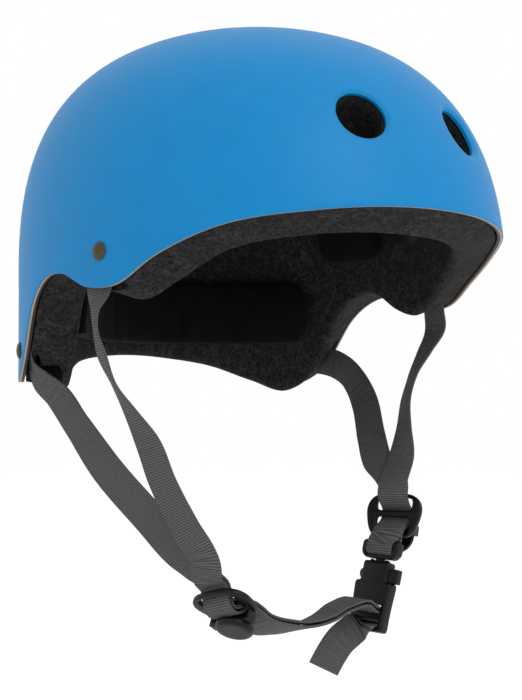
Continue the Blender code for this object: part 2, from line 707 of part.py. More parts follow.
def make_plug(frame):
    half = [(9.2, 20.6), (11.0, 19.9), (11.5, 18.6), (11.5, 14.2), (10.2, 12.2), (8.3, 11.0)]
    outline = half + [(-x, z) for x, z in reversed(half)]
    plug = flat_outline(scaled(outline), PLUG_THICKNESS, frame)
    as_part(plug, "buckle_plug", PLASTIC_BLACK, smooth=True)
    slot = flat_outline(rounded_rectangle(SLOT_HALF, 0.0016, 0.0008, 0.0138), 0.0120, frame)
    cut(plug, as_cutter(slot, "plug_slot"))
    thin_bar = {1: "outer", -1: "inner"}
    for sign, word in thin_bar.items():
        relief = box((2 * SLOT_HALF, 0.0040, 0.0080), (0, sign * 0.0037, 0.0190), frame)
        cut(plug, as_cutter(relief, f"plug_bar_relief_{word}"))
    notch = box((2 * SLOT_HALF + 0.0009, 0.0120, 0.0080), (0, 0, 0.0218), frame)
    cut(plug, as_cutter(notch, "plug_notch"))
    tongue = box((0.0046, 0.0030, 0.0165), (0, 0, 0.0033), frame)
    join(plug, as_cutter(tongue, "plug_tongue"))


def make_prong(frame, word, sign):
    """Spring arm with its latching thumb pad, hinged on its root in the plug."""
    outline = [(3.6, 10.6), (5.8, 10.6), (6.2, 6.2), (8.9, 5.9), (10.6, 4.6), (11.0, 3.0), (10.5, 1.2),
               (9.2, -0.2), (8.4, -5.0), (7.0, -7.2), (6.1, -6.6), (6.6, -0.4), (5.9, 3.4), (4.2, 6.6)]
    reach, rise = PRONG_PIVOT
    pivot = Matrix.Translation(Vector((sign * reach, 0.0, rise)) * MM)
    points = [((sign * x - sign * reach) * MM, (z - rise) * MM) for x, z in outline]
    if sign < 0:
        points.reverse()
    prong = flat_outline(points, PRONG_THICKNESS, frame @ pivot)
    as_part(prong, word + "_prong", PLASTIC_BLACK, smooth=True)


def make_socket(frame):
    body_half = [(7.6, 9.6), (8.3, 8.6), (8.3, -0.6), (11.1, -0.8), (11.6, -2.6), (10.9, -14.0), (10.6, -25.4),
                 (9.6, -26.0)]
    outline = body_half + [(-x, z) for x, z in reversed(body_half)]
    socket = flat_outline(scaled(outline), SOCKET_THICKNESS, frame)
    as_part(socket, "buckle_socket", PLASTIC_BLACK, smooth=True)
    mouth = box((0.0132, HOLLOW, 0.0200), (0, 0, 0.0060), frame)
    cut(socket, as_cutter(mouth, "socket_mouth"))
    pocket = box((0.0192, HOLLOW, 0.0170), (0, 0, -0.0021), frame)
    cut(socket, as_cutter(pocket, "socket_pocket"))
    for sign, word in ((1, "front"), (-1, "rear")):
        window = box((0.0080, HOLLOW, 0.0073), (sign * 0.0100, 0, 0.00275), frame)
        cut(socket, as_cutter(window, f"socket_window_{word}"))
    for centre, word in ((-14.7, "upper"), (-21.8, "lower")):
        slot = flat_outline(rounded_rectangle(SLOT_HALF, 0.0025, 0.0010, centre * MM), 0.0120, frame)
        cut(socket, as_cutter(slot, f"socket_slot_{word}"))
    relief = box((2 * SLOT_HALF, 0.0060, 0.0090), (0, 0.0032, -0.0182), frame)
    cut(socket, as_cutter(relief, "socket_bar_relief"))


def make_buckle():
    frame = local_frame(*BUCKLE)
    make_plug(frame)
    make_prong(frame, "front", 1)
    make_prong(frame, "rear", -1)
    make_socket(frame)


# ---------------------------------------------------------------- assembly

clear_scene()
PARTS = new_collection("water_helmet")
CUTTERS = new_collection("cutters")
SHELL_BLUE = material("soft_touch_blue_abs", (0.010, 0.225, 0.600), 0.52)
FOAM_BLACK = material("black_eps_foam", (0.018, 0.018, 0.019), 0.85)
PAD_BLACK = material("black_pad_fabric", (0.012, 0.012, 0.013), 0.90)
HOOK_BLACK = material("black_hook_tape", (0.010, 0.010, 0.010), 0.80)
WEBBING_GREY = material("grey_nylon_webbing", (0.105, 0.105, 0.108), 0.75)
PLASTIC_BLACK = material("black_acetal", (0.012, 0.012, 0.013), 0.42)
RIVET_METAL = material("browned_steel", (0.22, 0.17, 0.13), 0.45, 1.0)

make_shell()
make_liner()
make_pads()
make_crown_pad()
make_right_straps()
make_left_strap()
make_rivets()
make_splitter("right", RIGHT_SPLITTER)
make_splitter("left", LEFT_SPLITTER)
make_buckle()
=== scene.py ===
"""Water helmet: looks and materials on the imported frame. The wearer faces -Y and +Z is up, in metres."""
import math

import bmesh
import bpy
import numpy as np
from mathutils import Matrix, Vector


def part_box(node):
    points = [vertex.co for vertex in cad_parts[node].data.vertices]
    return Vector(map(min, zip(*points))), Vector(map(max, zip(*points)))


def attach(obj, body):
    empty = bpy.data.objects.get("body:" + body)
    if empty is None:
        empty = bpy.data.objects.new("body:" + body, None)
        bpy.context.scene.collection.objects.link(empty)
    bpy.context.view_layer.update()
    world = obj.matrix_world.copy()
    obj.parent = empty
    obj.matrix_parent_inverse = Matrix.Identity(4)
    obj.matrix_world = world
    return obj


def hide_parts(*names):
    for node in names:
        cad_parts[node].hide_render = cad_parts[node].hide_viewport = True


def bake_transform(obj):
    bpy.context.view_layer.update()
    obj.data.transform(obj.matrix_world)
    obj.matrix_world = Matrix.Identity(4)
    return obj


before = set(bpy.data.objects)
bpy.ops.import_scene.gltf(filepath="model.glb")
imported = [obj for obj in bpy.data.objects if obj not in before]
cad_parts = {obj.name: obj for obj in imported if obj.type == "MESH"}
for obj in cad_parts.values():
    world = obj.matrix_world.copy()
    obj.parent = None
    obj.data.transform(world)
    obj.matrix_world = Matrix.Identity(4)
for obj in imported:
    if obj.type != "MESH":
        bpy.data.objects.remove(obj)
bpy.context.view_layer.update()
scene = bpy.context.scene


# ---------------------------------------------------------------- viewpoint, floor and light
# The helmet is held up with its straps hanging, before a seamless pale paper sweep. One broad soft light
# comes from the front and above, a weaker one from the wearer's right, and the rest is pale surroundings.

def linear(hex_colour):
    """An sRGB hex colour as linear red, green, blue and alpha."""
    parts = [int(hex_colour[k:k + 2], 16) / 255 for k in (1, 3, 5)]
    return tuple(c / 12.92 if c <= 0.04045 else ((c + 0.055) / 1.055) ** 2.4 for c in parts) + (1.0,)


def add_node(tree, kind, inputs=None, **settings):
    """Adds a node: settings are its properties, inputs its sockets' values or the sockets that feed them."""
    node = tree.nodes.new(kind)
    for name, value in settings.items():
        setattr(node, name, value)
    for key, value in (inputs or {}).items():
        if isinstance(value, bpy.types.NodeSocket):
            tree.links.new(value, node.inputs[key])
        else:
            node.inputs[key].default_value = value
    return node


def new_material(name):
    made = bpy.data.materials.new(name)
    made.use_nodes = True
    made.node_tree.nodes.clear()
    return made, made.node_tree


def finish_material(tree, shader):
    add_node(tree, "ShaderNodeOutputMaterial", {"Surface": shader.outputs["BSDF"]})


camera_data = bpy.data.cameras.new("camera")
camera_data.lens = 77.5
camera_data.sensor_width = 36.0
camera = bpy.data.objects.new("camera", camera_data)
camera.location = (-0.5112, -0.5725, -0.1562)
camera.rotation_euler = (math.radians(92.26), math.radians(0.06), math.radians(-41.7))
scene.collection.objects.link(camera)
scene.camera = camera

world = bpy.data.worlds.new("pale_room")
world.use_nodes = True
world.node_tree.nodes["Background"].inputs["Color"].default_value = (1.0, 1.0, 1.0, 1.0)
world.node_tree.nodes["Background"].inputs["Strength"].default_value = 1.0
scene.world = world
scene.view_settings.view_transform = "Standard"

LIGHTS = (
    ("front_softbox", (-0.10, -1.70, 1.20), (1.1, 0.8), 15.0),
    ("side_softbox", (-1.90, -0.60, 0.50), (1.2, 1.4), 0.6),
    ("top_softbox", (0.30, 0.50, 1.70), (1.6, 1.6), 2.0),
)
for light_name, light_place, light_size, light_power in LIGHTS:
    light_data = bpy.data.lights.new(light_name, "AREA")
    light_data.shape = "RECTANGLE"
    light_data.size = light_size[0]
    light_data.size_y = light_size[1]
    light_data.energy = light_power
    light = bpy.data.objects.new(light_name, light_data)
    light.location = light_place
    light.rotation_euler = (Vector((0.0, 0.0, -0.08)) - Vector(light_place)).to_track_quat("-Z", "Y").to_euler()
    scene.collection.objects.link(light)

paper, paper_tree = new_material("pale_paper")
paper_shader = add_node(paper_tree, "ShaderNodeBsdfPrincipled", {
    "Base Color": linear("#FFFFFF"), "Roughness": 0.9,
})
finish_material(paper_tree, paper_shader)
floor_mesh = bpy.data.meshes.new("paper_floor")
floor_mesh.from_pydata([(-6, -6, -0.42), (6, -6, -0.42), (6, 6, -0.42), (-6, 6, -0.42)], [], [(0, 1, 2, 3)])
floor = bpy.data.objects.new("paper_floor", floor_mesh)
floor_mesh.materials.append(paper)
scene.collection.objects.link(floor)


# ---------------------------------------------------------------- outer shell
# Injection moulded ABS with a soft-touch blue coat, 3 mm thick, trimmed along the rim so that the uncoated
# edge shows. The vents are rolled inwards where the mould pinches the shell into a dished lip.

HALF_WIDTH = 0.1155
FRONT_REACH = 0.1245
REAR_REACH = 0.1330
DOME_RISE = 0.1310
PLAN_POWER = 2.11
SECTION_POWER = 2.63
CROWN_LEAN = (0.0042, 0.0051)
SHELL_WALL = 0.0030
EQUATOR = -0.0969
RIM = (
    (0, 30.5), (30, 27.0), (52, 19.5), (66, 8.0), (76, -3.0), (86, -3.5), (96, 4.0), (104, 3.0),
    (112, -8.0), (120, -33.0), (130, -45.0), (142, -39.0), (154, -31.5), (168, -28.0), (180, -27.0),
)
VENTS = ((17.0, 73.0), (-17.0, 73.0), (163.0, 66.0), (-163.0, 66.0))
VENT_HOLE = 0.0125
VENT_ROLL = 0.0040
RIM_ROUND = 0.0006
MM = 0.001


def smooth_steps(value, stations):
    """Smooth curve through (position, height, ...) stations."""
    xs = np.array([s[0] for s in stations], float)
    ys = np.array([s[1:] for s in stations], float)
    slopes = np.diff(ys, axis=0) / np.diff(xs)[:, None]
    tangents = np.zeros_like(ys)
    before = np.diff(xs)[:-1, None]
    after = np.diff(xs)[1:, None]
    tangents[1:-1] = (slopes[:-1] * after + slopes[1:] * before) / (before + after)
    k = int(np.clip(np.searchsorted(xs, value, side="right") - 1, 0, len(xs) - 2))
    span = xs[k + 1] - xs[k]
    t = (value - xs[k]) / span
    return (
        (2 * t**3 - 3 * t**2 + 1) * ys[k] + (t**3 - 2 * t**2 + t) * span * tangents[k]
        + (3 * t**2 - 2 * t**3) * ys[k + 1] + (t**3 - t**2) * span * tangents[k + 1]
    )


def around(degrees):
    """Degrees from the front, 0 to 180, the same on both sides."""
    return abs((degrees + 180.0) % 360.0 - 180.0)


def dome_points(degrees, stations, inset=0.0):
    """Points of the dome; a station is below 0 on the upright wall and a section angle above it."""
    stations = np.atleast_1d(np.asarray(stations, float))
    turn = math.radians(degrees)
    side = abs(math.sin(turn)) / (HALF_WIDTH - inset)
    fore = abs(math.cos(turn)) / ((FRONT_REACH if math.cos(turn) > 0 else REAR_REACH) - inset)
    reach = (side**PLAN_POWER + fore**PLAN_POWER) ** (-1 / PLAN_POWER)
    upper = np.clip(stations, 0.0, math.pi / 2)
    rise = np.sin(upper) ** (2 / SECTION_POWER)
    reach = reach * np.clip(np.cos(upper), 0.0, 1.0) ** (2 / SECTION_POWER)
    lean = CROWN_LEAN[0] * rise + CROWN_LEAN[1] * rise**2
    height = np.where(stations < 0, stations * DOME_RISE, (DOME_RISE - inset) * rise)
    return np.stack([-reach * math.sin(turn), -reach * math.cos(turn) + lean, height + EQUATOR], axis=1)


def dome_point(degrees, height, inset=0.0):
    """Point of the dome at a height above its equator plane."""
    if height < 0:
        station = height / DOME_RISE
    else:
        station = math.asin(min(height / (DOME_RISE - inset), 1.0) ** (SECTION_POWER / 2))
    return Vector(dome_points(degrees, station, inset)[0])


def wall_frame(degrees, height, inset):
    """Matrix on the dome: Z points out of it, Y points up along it."""
    here = dome_point(degrees, height, inset)
    along = dome_point(degrees + 0.5, height, inset) - here
    upward = dome_point(degrees, height + 0.001, inset) - here
    out = along.cross(upward).normalized()
    if out.dot(here - Vector((0, 0, here.z))) < 0:
        out.negate()
    upward = (upward - out * upward.dot(out)).normalized()
    matrix = Matrix((upward.cross(out), upward, out)).transposed().to_4x4()
    matrix.translation = here
    return matrix


def rim_height(degrees):
    return float(smooth_steps(around(degrees), RIM)[0]) * MM


def section(degrees, low, inset, rows):
    """Points evenly spaced up the dome at one angle, from the height low to the crown."""
    if low < 0:
        start = low / DOME_RISE
    else:
        start = math.asin((low / (DOME_RISE - inset)) ** (SECTION_POWER / 2))
    stations = np.concatenate([np.linspace(min(start, 0.0), 0.0, 20)[:-1], np.linspace(0.0, math.pi / 2, 400)])
    stations = stations[stations > start]
    stations = np.concatenate([[start], stations])
    points = dome_points(degrees, stations, inset)
    run = np.concatenate([[0.0], np.cumsum(np.linalg.norm(np.diff(points, axis=0), axis=1))])
    spots = np.linspace(0.0, run[-1], rows)
    return np.stack([np.interp(spots, run, points[:, k]) for k in range(3)], axis=1)


def closed_loft(name, columns, slots):
    """Closed skin over columns of points that share their first and last; slots gives each row its material."""
    count = len(columns)
    rows = len(columns[0]) - 2
    verts = [tuple(columns[0][0]), tuple(columns[0][-1])]
    for column in columns:
        verts.extend(tuple(p) for p in column[1:-1])
    faces = []
    finishes = []
    for c in range(count):
        here = 2 + c * rows
        there = 2 + ((c + 1) % count) * rows
        faces.append((0, there, here))
        finishes.append(slots[0])
        faces.append((1, here + rows - 1, there + rows - 1))
        finishes.append(slots[-1])
        for r in range(rows - 1):
            faces.append((here + r, there + r, there + r + 1, here + r + 1))
            finishes.append(slots[r + 1])
    mesh = bpy.data.meshes.new(name)
    mesh.from_pydata(verts, [], faces)
    mesh.polygons.foreach_set("material_index", finishes)
    made = bpy.data.objects.new(name, mesh)
    scene.collection.objects.link(made)
    return made


def face_outwards(made):
    shape = bmesh.new()
    shape.from_mesh(made.data)
    bmesh.ops.recalc_face_normals(shape, faces=shape.faces)
    if shape.calc_volume(signed=True) < 0:
        bmesh.ops.reverse_faces(shape, faces=shape.faces)
    shape.to_mesh(made.data)
    shape.free()


def bake_modifiers(made):
    """Turns the object's modifiers into its mesh."""
    bpy.context.view_layer.update()
    done = bpy.data.meshes.new_from_object(made.evaluated_get(bpy.context.evaluated_depsgraph_get()))
    made.modifiers.clear()
    made.data = done


def shade(made, degrees=35.0):
    made.data.shade_smooth()
    made.data.set_sharp_from_angle(angle=math.radians(degrees))


def round_bar(name, radius, depth, matrix, sides=96):
    """Plain cylinder along the matrix's Z, used as a cutter."""
    mesh = bpy.data.meshes.new(name)
    shape = bmesh.new()
    bmesh.ops.create_cone(shape, cap_ends=True, segments=sides, radius1=radius, radius2=radius, depth=depth)
    bmesh.ops.transform(shape, matrix=matrix, verts=shape.verts)
    shape.to_mesh(mesh)
    shape.free()
    made = bpy.data.objects.new(name, mesh)
    scene.collection.objects.link(made)
    return made


def block(name, size, centre, matrix, rounding=0.0):
    """Box in a matrix's own axes with its edges rounded, used as a cutter or a plain moulded bar."""
    mesh = bpy.data.meshes.new(name)
    shape = bmesh.new()
    bmesh.ops.create_cube(shape, size=1.0)
    bmesh.ops.scale(shape, vec=size, verts=shape.verts)
    bmesh.ops.translate(shape, vec=centre, verts=shape.verts)
    if rounding:
        bmesh.ops.bevel(shape, geom=shape.edges[:], offset=rounding, segments=4, profile=0.5, affect="EDGES")
    bmesh.ops.transform(shape, matrix=matrix, verts=shape.verts)
    shape.to_mesh(mesh)
    shape.free()
    made = bpy.data.objects.new(name, mesh)
    scene.collection.objects.link(made)
    return made


def combine(made, others, operation):
    """Cuts the others from a mesh, or joins them to it, and removes them."""
    for other in others:
        boolean = made.modifiers.new(operation.lower(), "BOOLEAN")
        boolean.operation = operation
        boolean.solver = "EXACT"
        boolean.object = other
    bake_modifiers(made)
    for other in others:
        bpy.data.objects.remove(other, do_unlink=True)


def shell_column(degrees, outer_rows, inner_rows):
    """One profile of the shell: down the coated side, round the trimmed rim, and up the inner side."""
    low = rim_height(degrees)
    outer = section(degrees, low + RIM_ROUND, 0.0, outer_rows)[::-1]
    outer_turn = [dome_point(degrees, low + RIM_ROUND * 0.3, RIM_ROUND * 0.3)]
    edge = [dome_point(degrees, low, inset) for inset in (RIM_ROUND, SHELL_WALL / 2, SHELL_WALL - RIM_ROUND)]
    inner_turn = [dome_point(degrees, low + RIM_ROUND * 0.3, SHELL_WALL - RIM_ROUND * 0.3)]
    inner = section(degrees, low + RIM_ROUND, SHELL_WALL, inner_rows)
    return [Vector(p) for p in outer] + outer_turn + edge + inner_turn + [Vector(p) for p in inner]


SHELL_COLUMNS = 300
OUTER_ROWS = 96
INNER_ROWS = 50
shell_slots = [0] * (OUTER_ROWS - 1) + [0, 0, 1, 2, 2, 2] + [2] * (INNER_ROWS - 1)
shell = closed_loft(
    "moulded_shell",
    [shell_column(360.0 * c / SHELL_COLUMNS, OUTER_ROWS, INNER_ROWS) for c in range(SHELL_COLUMNS)],
    shell_slots,
)
vent_axes = [wall_frame(angle, height * MM, 0.0) for angle, height in VENTS]
shape = bmesh.new()
shape.from_mesh(shell.data)
near_vent = [
    e for e in shape.edges
    if all(f.material_index == 0 for f in e.link_faces) and any(
        ((e.verts[0].co + e.verts[1].co) / 2 - axis.translation).length < VENT_HOLE + VENT_ROLL + 0.003
        for axis in vent_axes
    )
]
bmesh.ops.subdivide_edges(shape, edges=near_vent, cuts=3, use_grid_fill=True)
outer_verts = {v for f in shape.faces if f.material_index == 0 for v in f.verts}
for v in outer_verts:
    for axis in vent_axes:
        local = axis.inverted() @ v.co
        radius = math.hypot(local.x, local.y)
        if abs(local.z) < 0.010 and radius < VENT_HOLE + VENT_ROLL:
            into = min(VENT_HOLE + VENT_ROLL - radius, VENT_ROLL * 0.93)
            drop = 0.68 * (VENT_ROLL - math.sqrt(VENT_ROLL**2 - into**2))
            v.co -= axis.to_3x3() @ Vector((0, 0, drop))
shape.to_mesh(shell.data)
shape.free()
combine(shell, [round_bar("vent_punch", VENT_HOLE, 0.040, axis) for axis in vent_axes], "DIFFERENCE")
face_outwards(shell)
shade(shell, 50.0)

# Soft-touch coat over ABS: an even matte blue with a faint velvety sheen and a fine orange peel, 0.8 mm apart.
coat, tree = new_material("soft_touch_painted_abs")
place = add_node(tree, "ShaderNodeTexCoord")
grain = add_node(tree, "ShaderNodeTexNoise", {"Vector": place.outputs["Object"], "Scale": 1300.0, "Detail": 2.0})
drift = add_node(tree, "ShaderNodeTexNoise", {"Vector": place.outputs["Object"], "Scale": 90.0, "Detail": 5.0})
tone = add_node(tree, "ShaderNodeMix", {
    "Factor": drift.outputs["Fac"], 6: linear("#0070A8"), 7: linear("#017AB6"),
}, data_type="RGBA")
gloss = add_node(tree, "ShaderNodeMapRange", {
    "Value": drift.outputs["Fac"], "From Min": 0.3, "From Max": 0.7, "To Min": 0.46, "To Max": 0.52,
})
peel = add_node(tree, "ShaderNodeBump", {"Height": grain.outputs["Fac"], "Strength": 0.10, "Distance": 0.0002})
coat_shader = add_node(tree, "ShaderNodeBsdfPrincipled", {
    "Base Color": tone.outputs[2], "Roughness": gloss.outputs["Result"], "Normal": peel.outputs["Normal"],
    "IOR": 1.46, "Specular IOR Level": 0.22,
})
finish_material(tree, coat_shader)

# The trimmed rim: bare cream ABS with a scorched, slightly orange saw edge.
trimmed, tree = new_material("trimmed_raw_abs")
place = add_node(tree, "ShaderNodeTexCoord")
scuff = add_node(tree, "ShaderNodeTexNoise", {"Vector": place.outputs["Object"], "Scale": 240.0, "Detail": 4.0})
raw = add_node(tree, "ShaderNodeMix", {
    "Factor": scuff.outputs["Fac"], 6: linear("#8A6A45"), 7: linear("#B99670"),
}, data_type="RGBA")
raw_bump = add_node(tree, "ShaderNodeBump", {"Height": scuff.outputs["Fac"], "Strength": 0.25, "Distance": 0.0002})
raw_shader = add_node(tree, "ShaderNodeBsdfPrincipled", {
    "Base Color": raw.outputs[2], "Roughness": 0.6, "Normal": raw_bump.outputs["Normal"],
})
finish_material(tree, raw_shader)

# The inner side of the shell is uncoated black ABS, matte from the mould.
lining, tree = new_material("uncoated_black_abs")
place = add_node(tree, "ShaderNodeTexCoord")
texture = add_node(tree, "ShaderNodeTexNoise", {"Vector": place.outputs["Object"], "Scale": 900.0, "Detail": 2.0})
lining_bump = add_node(tree, "ShaderNodeBump", {
    "Height": texture.outputs["Fac"], "Strength": 0.2, "Distance": 0.0002,
})
lining_shader = add_node(tree, "ShaderNodeBsdfPrincipled", {
    "Base Color": linear("#0E0D0D"), "Roughness": 0.6, "Normal": lining_bump.outputs["Normal"],
})
finish_material(tree, lining_shader)

for finish in (coat, trimmed, lining):
    shell.data.materials.append(finish)
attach(shell, "root")
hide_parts("outer_shell")


# ---------------------------------------------------------------- foam liner
# One moulded block of charcoal-dyed EPS beads, 21.5 mm thick, pressed into the shell. Its lower edge shows all
# round below the rim, and it is relieved where the straps pass between it and the shell.

LINER_GAP = 0.0008
LINER_THICKNESS = 0.0215
LINER_HOLE = 0.0115
LINER_DROP = ((0, 10.0), (52, 9.0), (66, 10.0), (76, 6.0), (88, 1.0), (112, 1.0), (124, 3.0), (180, 2.0))
INNER_INSET = SHELL_WALL + LINER_GAP + LINER_THICKNESS
LINER_COLUMNS = 240


def liner_column(degrees):
    """One profile of the liner: down behind the shell, across the rounded lower edge, and up the inner side."""
    low = rim_height(degrees) + 0.0004
    drop = float(smooth_steps(around(degrees), LINER_DROP)[0]) * MM
    behind = section(degrees, low, SHELL_WALL + LINER_GAP, 40)[::-1]
    inner = section(degrees, low - drop + 0.0034, INNER_INSET, 56)
    start = Vector(behind[-1])
    corner = dome_point(degrees, low - drop, INNER_INSET - 0.0034)
    end = Vector(inner[0])
    across = [start.lerp(corner, share) for share in (0.04, 0.3, 0.6, 0.85)]
    turn = []
    for k in range(6):
        t = k / 5
        bend = dome_point(degrees, low - drop + 0.0002, INNER_INSET - 0.0002)
        turn.append(corner.lerp(bend, t).lerp(bend.lerp(end, t), t))
    return [Vector(p) for p in behind] + across + turn + [Vector(p) for p in inner[1:]]


liner_columns = [liner_column(360.0 * c / LINER_COLUMNS) for c in range(LINER_COLUMNS)]
liner = closed_loft("foam_liner_body", liner_columns, [0] * (len(liner_columns[0]) - 1))
face_outwards(liner)
liner_cutters = [
    round_bar("liner_vent", LINER_HOLE, 0.070, axis @ Matrix.Translation((0, 0, -0.023))) for axis in vent_axes
]
CHANNELS = (
    (82.5, 0.0, (0.028, 0.056, 0.013)), (-82.5, 0.0, (0.028, 0.056, 0.013)),
    (124.5, -0.040, (0.021, 0.040, 0.013)), (-121.5, -0.032, (0.048, 0.025, 0.013)),
)
for channel_turn, channel_height, channel_size in CHANNELS:
    liner_cutters.append(block(
        "strap_channel", channel_size, (0, 0, 0), wall_frame(channel_turn, channel_height, SHELL_WALL), 0.0030,
    ))
liner_cutters.append(round_bar(
    "strap_pocket", 0.0098, 0.030, Matrix.Translation((-0.0915, 0.0625, EQUATOR - 0.052)), 48,
))
combine(liner, liner_cutters, "DIFFERENCE")
shade(liner, 45.0)

# Moulded EPS: fused 2.5 mm beads with paler skins between them, and a dry, slightly crumbly charcoal surface.
foam, tree = new_material("moulded_charcoal_eps")
place = add_node(tree, "ShaderNodeTexCoord")
beads = add_node(tree, "ShaderNodeTexVoronoi", {"Vector": place.outputs["Object"], "Scale": 400.0},
                 feature="DISTANCE_TO_EDGE")
skin = add_node(tree, "ShaderNodeMapRange", {
    "Value": beads.outputs["Distance"], "From Min": 0.0, "From Max": 0.30, "To Min": 1.0, "To Max": 0.0,
})
fibre = add_node(tree, "ShaderNodeTexNoise", {
    "Vector": place.outputs["Object"], "Scale": 260.0, "Detail": 6.0, "Roughness": 0.75, "Distortion": 1.2,
})
fleck = add_node(tree, "ShaderNodeMapRange", {
    "Value": fibre.outputs["Fac"], "From Min": 0.46, "From Max": 0.70, "To Min": 0.0, "To Max": 1.0,
})
cloudy = add_node(tree, "ShaderNodeTexNoise", {"Vector": place.outputs["Object"], "Scale": 45.0, "Detail": 3.0})
patchy = add_node(tree, "ShaderNodeMath", {
    0: fleck.outputs["Result"], 1: cloudy.outputs["Fac"],
}, operation="MULTIPLY")
paler = add_node(tree, "ShaderNodeMath", {
    0: skin.outputs["Result"], 1: 0.18, 2: patchy.outputs["Value"],
}, operation="MULTIPLY_ADD")
foam_tone = add_node(tree, "ShaderNodeMix", {
    "Factor": paler.outputs["Value"], 6: linear("#0B0B0B"), 7: linear("#454546"),
}, data_type="RGBA")
foam_bump = add_node(tree, "ShaderNodeBump", {
    "Height": paler.outputs["Value"], "Strength": 0.5, "Distance": 0.0004,
})
foam_shader = add_node(tree, "ShaderNodeBsdfPrincipled", {
    "Base Color": foam_tone.outputs[2], "Roughness": 0.85, "Normal": foam_bump.outputs["Normal"],
    "Specular IOR Level": 0.12,
})
finish_material(tree, foam_shader)
liner.data.materials.clear()
liner.data.materials.append(foam)
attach(liner, "root")
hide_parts("foam_liner")


# ---------------------------------------------------------------- comfort pads and their hook tape
# Slabs of soft foam wrapped in brushed black fabric, sewn shut round their edge, and pressed on to squares of
# hook tape glued to the liner, so that the wearer can lift them off.

PATCH_THICKNESS = 0.0010
PAD_THICKNESS = 0.0060
CURVED_GAP = 0.0009
PAD_INSET = INNER_INSET + CURVED_GAP + PATCH_THICKNESS + CURVED_GAP
PAD_TRIM = 0.0010

pad_fabric, tree = new_material("brushed_pad_fabric")
place = add_node(tree, "ShaderNodeTexCoord")
nap = add_node(tree, "ShaderNodeTexNoise", {"Vector": place.outputs["Object"], "Scale": 1600.0, "Detail": 3.0})
worn = add_node(tree, "ShaderNodeTexNoise", {"Vector": place.outputs["Object"], "Scale": 120.0, "Detail": 3.0})
# The fabric's near-black colour is partly the real black fabric and partly painted shade, darker than the fabric,
# standing in for the deep shade inside the helmet; the noise adds random tone.
pad_tone_with_painted_shade = add_node(tree, "ShaderNodeMix", {
    "Factor": worn.outputs["Fac"], 6: linear("#040404"), 7: linear("#0D0D0E"),
}, data_type="RGBA")
pad_bump = add_node(tree, "ShaderNodeBump", {"Height": nap.outputs["Fac"], "Strength": 0.5, "Distance": 0.0003})
pad_shader = add_node(tree, "ShaderNodeBsdfPrincipled", {
    "Base Color": pad_tone_with_painted_shade.outputs[2], "Roughness": 0.9, "Normal": pad_bump.outputs["Normal"],
    "Sheen Weight": 0.03, "Sheen Roughness": 0.5, "Specular IOR Level": 0.08,
})
finish_material(tree, pad_shader)


def slab(name, angles, low, high, inset, thickness, columns, rows, lean_in=None):
    """Closed slab that follows the dome between two insets, with rounded ends."""
    near, far = [], []
    for c in range(columns + 1):
        share = c / columns
        degrees = angles[0] + (angles[1] - angles[0]) * share
        reach = min(share, 1 - share) * abs(math.radians(angles[1] - angles[0])) * 0.09
        corner = min(0.35 * (high - low), 0.010)
        into = max(corner - reach, 0.0)
        shrink = corner - math.sqrt(max(corner**2 - into**2, 0.0))
        extra = lean_in(degrees) if lean_in else 0.0
        for r, (line, depth) in ((r, pair) for r in range(rows + 1) for pair in ((near, 0.0), (far, thickness))):
            tall = low + shrink + (high - low - 2 * shrink) * r / rows
            line.append(dome_point(degrees, tall, inset + extra + depth))
    width = rows + 1
    back = (columns + 1) * width
    faces = []
    for c in range(columns):
        for r in range(rows):
            a = c * width + r
            faces.append((a, a + 1, a + 1 + width, a + width))
            faces.append((back + a, back + a + width, back + a + 1 + width, back + a + 1))
        for a, b in ((c * width, (c + 1) * width), ((c + 1) * width + rows, c * width + rows)):
            faces.append((a, b, back + b, back + a))
    for r in range(rows):
        b = columns * width + r
        faces.append((r + 1, r, back + r, back + r + 1))
        faces.append((b, b + 1, back + b + 1, back + b))
    mesh = bpy.data.meshes.new(name)
    mesh.from_pydata([tuple(p) for p in near + far], [], faces)
    made = bpy.data.objects.new(name, mesh)
    scene.collection.objects.link(made)
    face_outwards(made)
    return made


def stuff(pad, pressure, cap):
    """Swells a pad's cover with a short cloth run, no point further than the cap."""
    remesh = pad.modifiers.new("even_cloth", "REMESH")
    remesh.mode = "VOXEL"
    remesh.voxel_size = 0.0024
    bake_modifiers(pad)
    before = np.array([v.co for v in pad.data.vertices])
    cloth = pad.modifiers.new("cover", "CLOTH")
    cloth.settings.use_pressure = True
    cloth.settings.uniform_pressure_force = pressure
    cloth.settings.effector_weights.gravity = 0.0
    cloth.point_cache.frame_start = 1
    cloth.point_cache.frame_end = 20
    for number in range(1, 21):
        scene.frame_set(number)
    bake_modifiers(pad)
    scene.frame_set(1)
    after = np.array([v.co for v in pad.data.vertices])
    moved = after - before
    length = np.linalg.norm(moved, axis=1, keepdims=True)
    kept = before + moved * np.minimum(1.0, cap / np.maximum(length, 1e-9))
    pad.data.vertices.foreach_set("co", kept.astype(np.float32).ravel())
    smooth = pad.modifiers.new("soft", "SMOOTH")
    smooth.iterations = 3
    fine = pad.modifiers.new("finer", "SUBSURF")
    fine.levels = 1
    fine.render_levels = 1
    bake_modifiers(pad)
    pad.data.shade_smooth()


def brow_corner_gap(degrees):
    """The brow pad bridges the liner's front corners instead of pressing into them."""
    return 0.0055 * math.exp(-(((around(degrees) - 52.0) / 11.0) ** 2))


